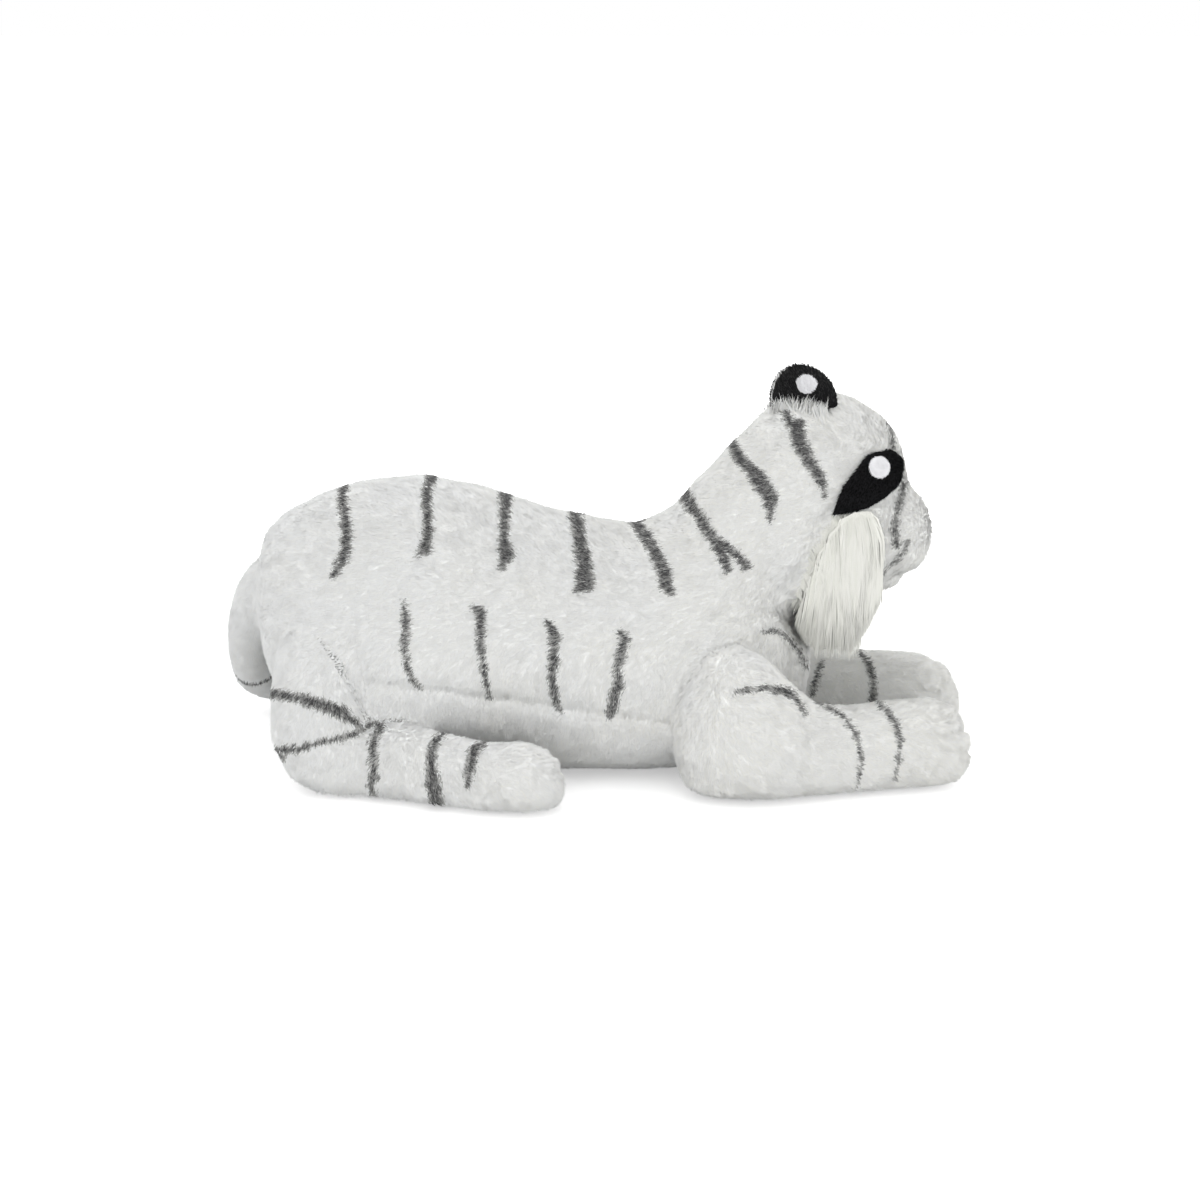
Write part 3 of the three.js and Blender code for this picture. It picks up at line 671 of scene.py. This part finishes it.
def nodes_tree(groups):
    """A search tree over CAD nodes, and which group each of its faces is from."""
    points, faces, owner, base = [], [], [], 0
    for index, nodes in enumerate(groups):
        for node in nodes:
            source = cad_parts[node]
            own = moved(arrays(source.data), source.matrix_world)
            tris = triangles(source.data)
            points.extend(tuple(p) for p in own)
            faces.extend(tuple(t) for t in tris + base)
            owner.extend([index] * len(tris))
            base += len(own)
    return BVHTree.FromPolygons(points, faces), np.array(owner)


EVERY_TREE, FACE_OWNER = nodes_tree([LIMB_NODES[owner] for owner in OWNERS])


def owners_at(points):
    return np.array([FACE_OWNER[EVERY_TREE.find_nearest(Vector(p))[2]] for p in points])


def inside(tree, points):
    """Which points lie inside a thin closed tree."""
    out = np.zeros(len(points), bool)
    for i, point in enumerate(points):
        found, normal, _, _ = tree.find_nearest(Vector(point), 0.012)
        if found is not None:
            out[i] = (Vector(point) - found).dot(normal) < 0
    return out


# ---- the body and head: one stuffed skin ----
BEND_FROM, BEND_TO = -0.012, 0.034  # the stretch along the neck's axis where the cloth would bend; the pile there rides with neither body
OVERLAP = 0.02  # how far behind the neck the body's stripes show as well


def bend_at_neck(piece):
    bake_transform(piece)


def ahead_of_neck(points, shift=0.0):
    return (points - np.array(NECK)) @ np.array(NECK_AXIS) > shift


def body_stripes(points):
    both = np.where(ahead_of_neck(points), striped(points, "head", HEAD), striped(points, "body"))
    return np.maximum(both, np.where(ahead_of_neck(points, -OVERLAP), striped(points, "body"), 0))


def tone_of(points, form):
    if form == "tail":
        return ringed(points)
    if form in ("body", "head"):
        return body_stripes(points)
    return striped(points, form, STILL, (0.2, 0, 1) if form == "hind_leg" else (1, 0, 0))


def all_folds(points):
    owner = owners_at(points)
    depth = np.zeros(len(points))
    for index, name in enumerate(OWNERS):
        chosen = owner == index
        matrix = HEAD if name == "head" else STILL
        depth[chosen] = folded(points[chosen], FORMS[name], matrix)
    return depth


# ---- tail, with rings printed across it ----
TAIL_START = np.array([-284.0, 6.0, 158.0])
TAIL_REACH = np.array([-40.0, 206.8, 136.0])
TAIL_SHARES = np.array([
    (0, 0, 0), (0.33, 0.07, -0.14), (0.59, 0.21, -0.4), (0.7, 0.37, -0.62), (0.71, 0.55, -0.82),
    (0.44, 0.73, -0.95), (-0.4, 0.88, -1), (-1.5, 0.95, -1), (-2.6, 0.985, -1), (-3.4, 1, -1),
])
TAIL_ROUTE = (TAIL_START + TAIL_SHARES * TAIL_REACH) * MM
TAIL_RINGS = [(0.150, 0.005), (0.205, 0.006), (0.258, 0.006), (0.311, 0.007), (0.364, 0.007)]


def along_tail(points):
    """How far along the tail each point is, in metres, and the tail's direction there."""
    best = np.full(len(points), 1e9)
    run = np.zeros(len(points))
    heading = np.zeros((len(points), 3))
    done = 0.0
    for a, b in zip(TAIL_ROUTE, TAIL_ROUTE[1:]):
        d = b - a
        size = np.linalg.norm(d)
        t = np.clip((points - a) @ d / size**2, 0, 1)
        gap = np.linalg.norm(points - a - t[:, None] * d, axis=1)
        nearer = gap < best
        best[nearer] = gap[nearer]
        run[nearer] = (done + t * size)[nearer]
        heading[nearer] = d / size
        done += size
    return run, heading


def ringed(points):
    run, _ = along_tail(points)
    wave = 2.0 * MM * noise(points / (9 * MM), 31) + 0.8 * MM * noise(points / (2 * MM), 32)
    dark = np.zeros(len(points))
    for middle, width in TAIL_RINGS:
        dark = np.maximum(dark, np.clip((width / 2 - np.abs(run - middle + wave)) / (2 * MM) + 0.5, 0, 1))
    return dark


# ---- one surface drawn round the whole toy, so that no edge shows in the pile between its bodies ----
ROOM = 2.8  # mm between the covers and the pile's roots
EVERYTHING = [node for owner in OWNERS for node in LIMB_NODES[owner]]
whole = skin("whole", EVERYTHING, voxel=2.8, rounds=18, inset=ROOM, folds=all_folds)
surface_tree = tree_of(whole)

# ---- skins: one closed stuffed skin for each moving body, just under the pile's roots ----
body_skin = skin(
    "body_and_head", TORSO + HEAD_NODES, voxel=3.0, rounds=20, inset=ROOM, folds=all_folds,
    paint=body_stripes, under=surface_tree,
)
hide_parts(*(TORSO + HEAD_NODES))
bend_at_neck(body_skin)
for limb in OWNERS[2:]:
    nodes = LIMB_NODES[limb]
    form = FORMS[limb]
    form = "far_foreleg" if limb == "foreleg_left" else form
    painted = partial(tone_of, form=form)
    made = skin(
        limb + "_skin", nodes, voxel=2.6, rounds=16, inset=ROOM, folds=all_folds, paint=painted,
        under=surface_tree,
    )
    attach(made, limb)
    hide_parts(*nodes)

# ---- eyes: the outline in the head's frame, as in the CAD source ----
EYE_CORNER = np.array([0.186, 0.215])
EYE_SIZE = np.array([0.064, 0.053])
EYE_SHARES = np.array([
    (0, 0), (0.14, 0.43), (0.31, 0.68), (0.47, 0.92), (0.66, 0.98), (0.8, 1), (0.97, 0.85), (0.95, 0.62),
    (0.86, 0.42), (0.47, 0.11),
])
EYE_OUTLINE = EYE_CORNER + EYE_SHARES * EYE_SIZE


def in_outline(at, outline):
    hit = np.zeros(len(at), bool)
    for a, b in zip(outline, np.roll(outline, -1, axis=0)):
        crosses = (a[1] > at[:, 1]) != (b[1] > at[:, 1])
        reach = a[0] + (at[:, 1] - a[1]) / np.where(b[1] == a[1], 1e-9, b[1] - a[1]) * (b[0] - a[0])
        hit ^= crosses & (at[:, 0] < reach)
    return hit


def under_eye(points):
    own = moved(points, HEAD.inverted())
    return in_outline(own[:, [0, 2]], EYE_OUTLINE) & (np.abs(own[:, 1]) > 0.03)


# ---- pile ----
SPACING = 1.42  # these three in mm
PILE_LENGTH = 4.6
PILE_WIDTH = 1.15
LIFT = 0.42  # how steeply the pile stands, as a rise over its run
RESTING = 6 * MM  # below this height, what faces down is pressed flat and bears no pile
PROUD_OF_PILE = 3  # mm: roots so close to a ruff or the nose are under it


def off_floor(roots, facing):
    return ~((facing[:, 2] < -0.5) & (roots[:, 2] < RESTING))


roots, facing = scattered(whole, SPACING, off_floor)
hidden, _ = nodes_tree([["cheek_ruff_right", "cheek_ruff_left", "nose"]])
bare = under_eye(roots)
front = np.flatnonzero(ahead_of_neck(roots, -0.04))
bare[front] |= inside(hidden, (roots + facing * PROUD_OF_PILE * MM)[front])
roots, facing = roots[~bare], facing[~bare]
owner = owners_at(roots)
distance = (roots - np.array(NECK)) @ np.array(NECK_AXIS)
bpy.data.objects.remove(whole)


LAY_LOW = 0.14  # the height below which the pile turns down
LAY_TURN = 0.06  # the distance over which it turns
PAW_FROM = {"foreleg": 0.06, "hind_leg": -0.19}  # where along a leg it turns forward
BACKWARD, DOWNWARD = np.array([-1.0, 0, -0.25]), np.array([-0.2, 0, -1.0])
FORWARD = np.array([0.95, 0, -0.55])


def lay_of(form):
    """The pile's direction: back along the body, down low on it, and forward along the legs."""

    def lay(points):
        if form == "tail":
            return along_tail(points)[1]
        x, z = points[:, :1], points[:, 2:]
        low = np.clip((LAY_LOW - z) / LAY_TURN, 0, 1)
        ahead = np.clip((x - PAW_FROM.get(form, 1)) / LAY_TURN, 0, 1)
        flow = BACKWARD * (1 - low) + DOWNWARD * low
        return flow * (1 - ahead) + FORWARD * ahead

    return lay


STRAND_GRAIN = 1.1 * MM
WHITE_PATCH = 30 * MM
WHITE_STEPS = (-0.3, 0.5)  # where the white turns from cool to plain, and to warm
GREY_FROM = 0.28  # how dark a place is where a stripe begins
GREY_STEPS = (0.52, 0.78, 1.05)  # and where its greys turn darker


def coat(form):
    """Chooses the pile's colour at each place: white in three tones, or greys where a stripe is."""
    nap = np.array((0.15, 0, 1.0) if form == "hind_leg" else (1.0, 0, 0.3))
    nap = nap / np.linalg.norm(nap)

    def choose(points, spread):
        dark = tone_of(points, form)
        patch = points[:, 0] / 0.6 + 0.4 * noise(points / WHITE_PATCH, 21)
        white = np.digitize(patch + (spread - 0.5), WHITE_STEPS)
        streak = points / STRAND_GRAIN - np.outer(points @ nap, nap) * (1 / STRAND_GRAIN - 1 / LONG_GRAIN)
        level = dark + 0.45 * noise(streak, 12) + (spread - 0.5) * 0.5
        level = np.where(dark > 0.02, level, 0)
        grey = 6 - np.digitize(level, GREY_STEPS)
        return np.where(level > GREY_FROM, grey, white)

    return choose


# The pile is cut into zones, so that no piece gets too many faces.
RUMP_END, LOIN_END, BACK_END = -0.29, -0.21, -0.13
is_body = owner < 2
zones = [
    ("rump_pile", "torso", is_body & (distance < RUMP_END)),
    ("loin_pile", "torso", is_body & (distance >= RUMP_END) & (distance < LOIN_END)),
    ("back_pile", "torso", is_body & (distance >= LOIN_END) & (distance < BACK_END)),
    ("shoulder_pile", "torso", is_body & (distance >= BACK_END) & (distance < BEND_FROM)),
    ("neck_pile", None, is_body & (distance >= BEND_FROM) & (distance <= BEND_TO)),
    ("head_pile", "head", is_body & (distance > BEND_TO)),
]
zones += [(limb + "_pile", limb, owner == index + 2) for index, limb in enumerate(OWNERS[2:])]
for index, (name, rider, chosen) in enumerate(zones):
    form = FORMS[rider or "torso"]
    tone = "far_foreleg" if rider == "foreleg_left" else form
    printed = chosen.copy()
    printed[chosen] = tone_of(roots[chosen], tone) > 0
    for part, where, rings in ((name, chosen & ~printed, 1), (name + "_printed", chosen & printed, 2)):
        if not where.any():
            continue
        made = pile(
            part, roots[where], facing[where], PILE_LENGTH, PILE_WIDTH, lay_of(form), LIFT,
            WHITES + GREYS, coat(tone), 100 + index, rings,
        )
        if rider:
            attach(made, rider)
        else:
            bend_at_neck(made)

# ---- nose ----
NOSE = backing("nose velvet", (0.40, 0.27, 0.26), (0.3, 0.2, 0.2), grain=2500.0, bump=0.3)
nose = skin("nose_skin", ["nose"], voxel=0.9, rounds=10, inset=0.2, lumps=0.2, material=NOSE)
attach(nose, "head")
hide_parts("nose")

# ---- eye patches and their bright spots, of short pile ----
for side, sign in (("right", -1), ("left", 1)):
    for part, voxel, length, tones, spacing in (
        ("eye_patch_", 0.75, 2.6, BLACKS, 1.1), ("eye_glint_", 0.55, 2.0, BRIGHTS, 0.9),
    ):
        node = part + side
        dark = part == "eye_patch_"
        backed = BLACK_BACK if dark else finish("bright backing " + side, (0.8, 0.8, 0.82))
        patch = skin(node + "_skin", [node], voxel, rounds=4, inset=0.0, lumps=0.0, material=backed)
        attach(patch, "head")
        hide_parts(node)

        def outwards(places, normals, sign=sign):
            return moved(normals, HEAD.to_3x3().inverted().to_4x4())[:, 1] * sign > -0.2

        places, normals = scattered(patch, spacing, outwards)
        made = pile(
            node + "_pile", places, normals, length, width=0.8, lay=plain_lay(-0.6, 0, -0.5), lift=0.5,
            materials=tones, seed=160,
            choose=lambda p, s, n=len(tones): np.minimum((s * n * 0.999).astype(int), n - 1),
        )
        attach(made, "head")

# ---- ears: black backs with a white spot, white linings, and long pile round their roots ----
EAR_ROOT = (0.167, -0.034, 0.30535)
EAR_TURN = math.radians(180 - 37)
EAR_LEAN = math.radians(-8)
EAR = Matrix.Translation(EAR_ROOT) @ Matrix.Rotation(EAR_TURN, 4, "Z") @ Matrix.Rotation(EAR_LEAN, 4, "X")
MIRROR = Matrix.Diagonal((1, -1, 1, 1))
EAR_HALF, EAR_HEIGHT, CUP_DEPTH = 0.034, 0.035, 0.008
SPOT_AT, SPOT_RADIUS = (-0.007, 0.018), 0.0095
TUFT_HALF, TUFT_RISE = 0.028, 0.03  # how far the fringe at the ear's foot goes, across it and up
TUFT_FROM, TUFT_TO = 0.003, 0.015  # and where it stands behind the ear


def ear_parts(points, own):
    """Which points are on an ear's lining, and which on its white spot."""
    at = moved(points, own)
    cup = CUP_DEPTH * np.maximum(at[:, 2] / EAR_HEIGHT, 0) * (0.5 - (at[:, 0] / EAR_HALF) ** 2)
    lining = at[:, 1] < cup - 0.0004
    edge = SPOT_RADIUS + 0.0007 * noise(points / (3 * MM), 51)
    spot = np.hypot(at[:, 0] - SPOT_AT[0], (at[:, 2] - SPOT_AT[1]) * 1.2) < edge
    return lining, spot & ~lining


for side, matrix in (("right", HEAD @ EAR), ("left", HEAD @ MIRROR @ EAR)):
    own = matrix.inverted()

    def ear_paint(points, own=own):
        lining, spot = ear_parts(points, own)
        return (lining | spot).astype(float)

    def ear_coat(points, spread, own=own):
        lining, spot = ear_parts(points, own)
        slots = (spread * 1.999).astype(int)
        slots[spot] = 2
        slots[lining] = 3
        return slots

    nodes = ["ear_back_" + side, "ear_lining_" + side, "ear_spot_" + side]
    ear = skin(
        "ear_skin_" + side, nodes, voxel=1.0, rounds=8, inset=0.8, lumps=0.3, material=BLACK_BACK,
        paint=ear_paint,
    )
    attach(ear, "ear_" + side)
    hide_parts(*nodes)
    places, normals = scattered(ear, 1.25)
    made = pile(
        "ear_pile_" + side, places, normals, length=3.4, width=0.85, lay=plain_lay(-0.2, 0, 1), lift=0.5,
        materials=EAR_BLACKS + BRIGHTS + WHITES[1:2], choose=ear_coat, seed=170,
    )
    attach(made, "ear_" + side)

    at = moved(roots, own)
    beside = (np.abs(at[:, 0]) < TUFT_HALF) & (at[:, 1] > TUFT_FROM) & (at[:, 1] < TUFT_TO)
    beside &= np.abs(at[:, 2]) < TUFT_RISE
    rise = matrix.to_3x3() @ Vector((0, 0.1, 1))
    made = pile(
        "ear_root_pile_" + side, roots[beside], facing[beside], length=13.0, width=1.3,
        lay=plain_lay(*rise), lift=0.9, materials=WHITES, choose=lambda p, s: (s * 2.999).astype(int),
        seed=175,
    )
    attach(made, "head")

# ---- cheek ruffs: long silky hair that hangs from under the eye ----
HAIR_SPACING = 1.7  # in mm
HAIR_STEPS = 8
SHORTEST, LONGEST = 36, 58  # in mm
STUBBLE = 6 * MM  # what the hem leaves at least
HAIR_WIDTH, WIDTH_SPREAD = 1.15, 0.5  # these four in mm
PROUD, PROUD_SPREAD = 0.5, 1.8  # how far the hair stands off the ruff
HAIR_ROOT = 0.5  # in mm
RING_REACH = 9 * MM  # the hair also grows on the cheek, so close round the ruff
RING_FACING = 0.4  # and where the cheek faces outwards by this share
CHEEK_LOW, CHEEK_HIGH = 0.15, 0.26
HEM = 110 * MM  # the height where the ruff ends, which rises past both of these places along it
HEM_FRONT, HEM_REAR = 208 * MM, 180 * MM
RISE_FRONT, RISE_REAR = 2, 1.6
HEM_RAGGED, HEM_LOW = 14 * MM, 0.3  # how ragged the hem is, and what share of that lies below it
FREE_FROM = 0.4  # past this share of the half width the hair falls free
SPREAD_BACK, SPREAD_OUT, RING_FORWARD = 0.4, 0.2, 0.25  # how it spreads from the middle
FALL, SWAY = np.array([0.04, 0, -1.0]), np.array([0.16, 0, 0])
STEEPEST = -0.9  # how much of its fall a surface that faces up can stop
OVERHANG = -0.2  # a surface that faces down by more than this doesn't hold the hair
CLUMP_WIDTH, CLUMP_LENGTH = 8 * MM, 70 * MM
TONE_WIDTH, TONE_LENGTH = 7 * MM, 60 * MM
TONE_STEPS = (0.5, 0.95)  # where the cream turns from pale to plain, and to deep


def stretched(x, y, z, width, length):
    """Places for noise that runs on along the hair."""
    return np.stack([x / width, y / width, z / length], -1)


def roots_round(tree, sign, front):
    """Which of the pile's roots on the cheek lie close round a ruff and behind a place along it."""
    cheek = (owner == 1) & (facing[:, 1] * sign > RING_FACING) & (roots[:, 0] < front)
    around = np.flatnonzero(cheek & (roots[:, 2] > CHEEK_LOW) & (roots[:, 2] < CHEEK_HIGH))
    return around[[tree.find_nearest(Vector(roots[i]))[3] < RING_REACH for i in around]]


def hair_lengths(places, spin):
    """Random lengths, cut where the hair would hang past the hem."""
    x, _, z = places.T
    reach = (SHORTEST + (LONGEST - SHORTEST) * spin.random(len(places))) * MM
    hem = HEM + np.maximum(x - HEM_FRONT, 0) * RISE_FRONT + np.maximum(HEM_REAR - x, 0) * RISE_REAR
    room = z - hem - HEM_RAGGED * (spin.random(len(places)) - HEM_LOW)
    return np.clip(reach, STUBBLE, np.maximum(room, STUBBLE))


def hanging(places, normals, tree, reach, proud, free, flare):
    """Paths of hair that falls along a surface, so far proud of it. Free hair may leave it."""
    x, y, _ = places.T
    path = [places - normals * HAIR_ROOT * MM]
    here = places.copy()
    out = normals.copy()
    for step in range(HAIR_STEPS - 1):
        clump = noise(stretched(x, y, here[:, 2], CLUMP_WIDTH, CLUMP_LENGTH), 61)
        pull = FALL + SWAY * clump[:, None] + flare
        along = (pull * out).sum(1)
        along = np.where(free, np.minimum(along, 0), along)
        pull = pull - np.maximum(along, STEEPEST)[:, None] * out * (out[:, 2:] > OVERHANG)
        here = here + unit(pull) * (reach / (HAIR_STEPS - 1))[:, None]
        for i, point in enumerate(here):
            found, normal, _, _ = tree.find_nearest(Vector(point))
            gap = (Vector(point) - found).dot(normal)
            if gap < proud[i] or (normal.z > OVERHANG and not free[i]):
                here[i] = found + normal * proud[i] * min(1.0, (step + 1) / 2)
            out[i] = normal
        path.append(here.copy())
    return np.stack(path, 1)


def ruff_hair(name, ruff, sign):
    """The hair of one ruff, and of the ring round it on the cheek."""

    def outer(places, normals):
        return (normals[:, 1] * sign > -0.25) & (normals[:, 2] > -0.6)

    places, normals = scattered(ruff, HAIR_SPACING, outer)
    tree = tree_of(ruff)
    middle = (places[:, 0].max() + places[:, 0].min()) / 2
    half = places[:, 0].max() - middle
    around = roots_round(tree, sign, middle + half * 0.5)
    places = np.concatenate([places, roots[around]])
    normals = np.concatenate([normals, facing[around]])
    count = len(places)
    ring = slice(count - len(around), count)
    spin = np.random.default_rng(180)
    reach = hair_lengths(places, spin)
    proud = (PROUD + PROUD_SPREAD * spin.random(count)) * MM
    x, y, z = places.T
    beside = (x - middle) / half
    beside[ring] = 0
    free = np.abs(beside) > FREE_FROM
    free[ring] = True
    back, outwards = SPREAD_BACK * np.minimum(beside, 0), -sign * SPREAD_OUT * np.abs(beside)
    flare = np.stack([back, outwards, np.zeros(count)], -1)
    flare[ring, 0] = RING_FORWARD * (x[ring] < middle - half * 0.5)
    paths = hanging(places, normals, tree, reach, proud, free, flare)
    wide = (HAIR_WIDTH + WIDTH_SPREAD * spin.random(count)) * MM
    points, each, faces = blades(paths, wide, normals)
    tone = 0.7 + 0.5 * noise(stretched(x, y, z, TONE_WIDTH, TONE_LENGTH), 62)
    slot = np.digitize(tone + (spin.random(count) - 0.5) * 0.8, TONE_STEPS)
    mesh = strand_mesh(name, points, each, faces, [slot] * len(faces), CREAMS)
    level = unit(normals * np.array([0.7, 0.7, 0]) + np.array([0, 0.5 * sign, 0]))
    shade(mesh, level, each, PILE_SHADE)
    return link(name, mesh)


for side, sign in (("right", -1), ("left", 1)):
    node = "cheek_ruff_" + side
    ruff = skin(node + "_skin", [node], voxel=2.2, rounds=12, inset=3.0, lumps=0.6, material=CREAM_BACK)
    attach(ruff, "head")
    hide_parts(node)
    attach(ruff_hair(node + "_hair", ruff, sign), "head")


# ---- floor, light and background ----
def seen(tree):
    """1 for the rays that show the background: the camera's own, and those in gloss or glass."""
    rays = tree.nodes.new("ShaderNodeLightPath")
    both = tree.nodes.new("ShaderNodeMath")
    every = tree.nodes.new("ShaderNodeMath")
    every.use_clamp = True
    tree.links.new(rays.outputs["Is Camera Ray"], both.inputs[0])
    tree.links.new(rays.outputs["Is Glossy Ray"], both.inputs[1])
    tree.links.new(both.outputs["Value"], every.inputs[0])
    tree.links.new(rays.outputs["Is Transmission Ray"], every.inputs[1])
    return every.outputs["Value"]


FLOOR = [(-20, -8, 0), (20, -8, 0), (20, 60, 0), (-20, 60, 0)]
FADE_FROM, FADE_TO = 0.45, 1.1  # metres from the toy's middle, where the floor turns to plain white
GLOW_NEAR, GLOW_FAR = 0.42, 1.0  # the floor's own light there, as the background
SKY = 1.1  # the world's light on the toy. As the background it is 1, which is white
floor_mesh = bpy.data.meshes.new("floor")
floor_mesh.from_pydata(FLOOR, [], [(0, 1, 2, 3)])
floor = link("floor", floor_mesh)
paper = finish("paper", (0.94, 0.94, 0.94), rough=1.0)
tree = paper.node_tree
shader = tree.nodes["Principled BSDF"]
shader.inputs["Specular IOR Level"].default_value = 0
shader.inputs["Emission Color"].default_value = (1, 1, 1, 1)
place = tree.nodes.new("ShaderNodeNewGeometry")
length = tree.nodes.new("ShaderNodeVectorMath")
length.operation = "LENGTH"
fade = tree.nodes.new("ShaderNodeMapRange")
fade.inputs["From Min"].default_value = FADE_FROM
fade.inputs["From Max"].default_value = FADE_TO
fade.inputs["To Min"].default_value = GLOW_NEAR
fade.inputs["To Max"].default_value = GLOW_FAR
scale = tree.nodes.new("ShaderNodeMath")
scale.operation = "MULTIPLY"
tree.links.new(place.outputs["Position"], length.inputs[0])
tree.links.new(length.outputs["Value"], fade.inputs["Value"])
tree.links.new(seen(tree), scale.inputs[0])
tree.links.new(fade.outputs["Result"], scale.inputs[1])
tree.links.new(scale.outputs["Value"], shader.inputs["Emission Strength"])
floor_mesh.materials.append(paper)

world = bpy.data.worlds.new("studio")
bpy.context.scene.world = world
world.use_nodes = True
tree = world.node_tree
ground = tree.nodes["Background"]
mix = tree.nodes.new("ShaderNodeMix")
mix.inputs["A"].default_value = SKY
mix.inputs["B"].default_value = 1.0
tree.links.new(seen(tree), mix.inputs["Factor"])
tree.links.new(mix.outputs["Result"], ground.inputs["Strength"])
ground.inputs["Color"].default_value = (1, 1, 1, 1)


def softbox(name, place, target, size, power):
    data = bpy.data.lights.new(name, "AREA")
    data.shape = "DISK"
    data.size = size
    data.energy = power
    made = link(name, data)
    made.location = place
    made.rotation_euler = (Vector(target) - Vector(place)).to_track_quat("-Z", "Y").to_euler()


softbox("front", (0.1, -1.9, 0.3), target=(0, 0, 0.05), size=1.6, power=7.5)
softbox("side", (-1.9, -0.5, 0.7), target=(-0.2, 0, 0.1), size=1.2, power=0.6)
softbox("top", (0.0, 0.3, 2.3), target=(0, 0, 0.1), size=1.6, power=6)
bpy.context.scene.view_settings.view_transform = "Standard"
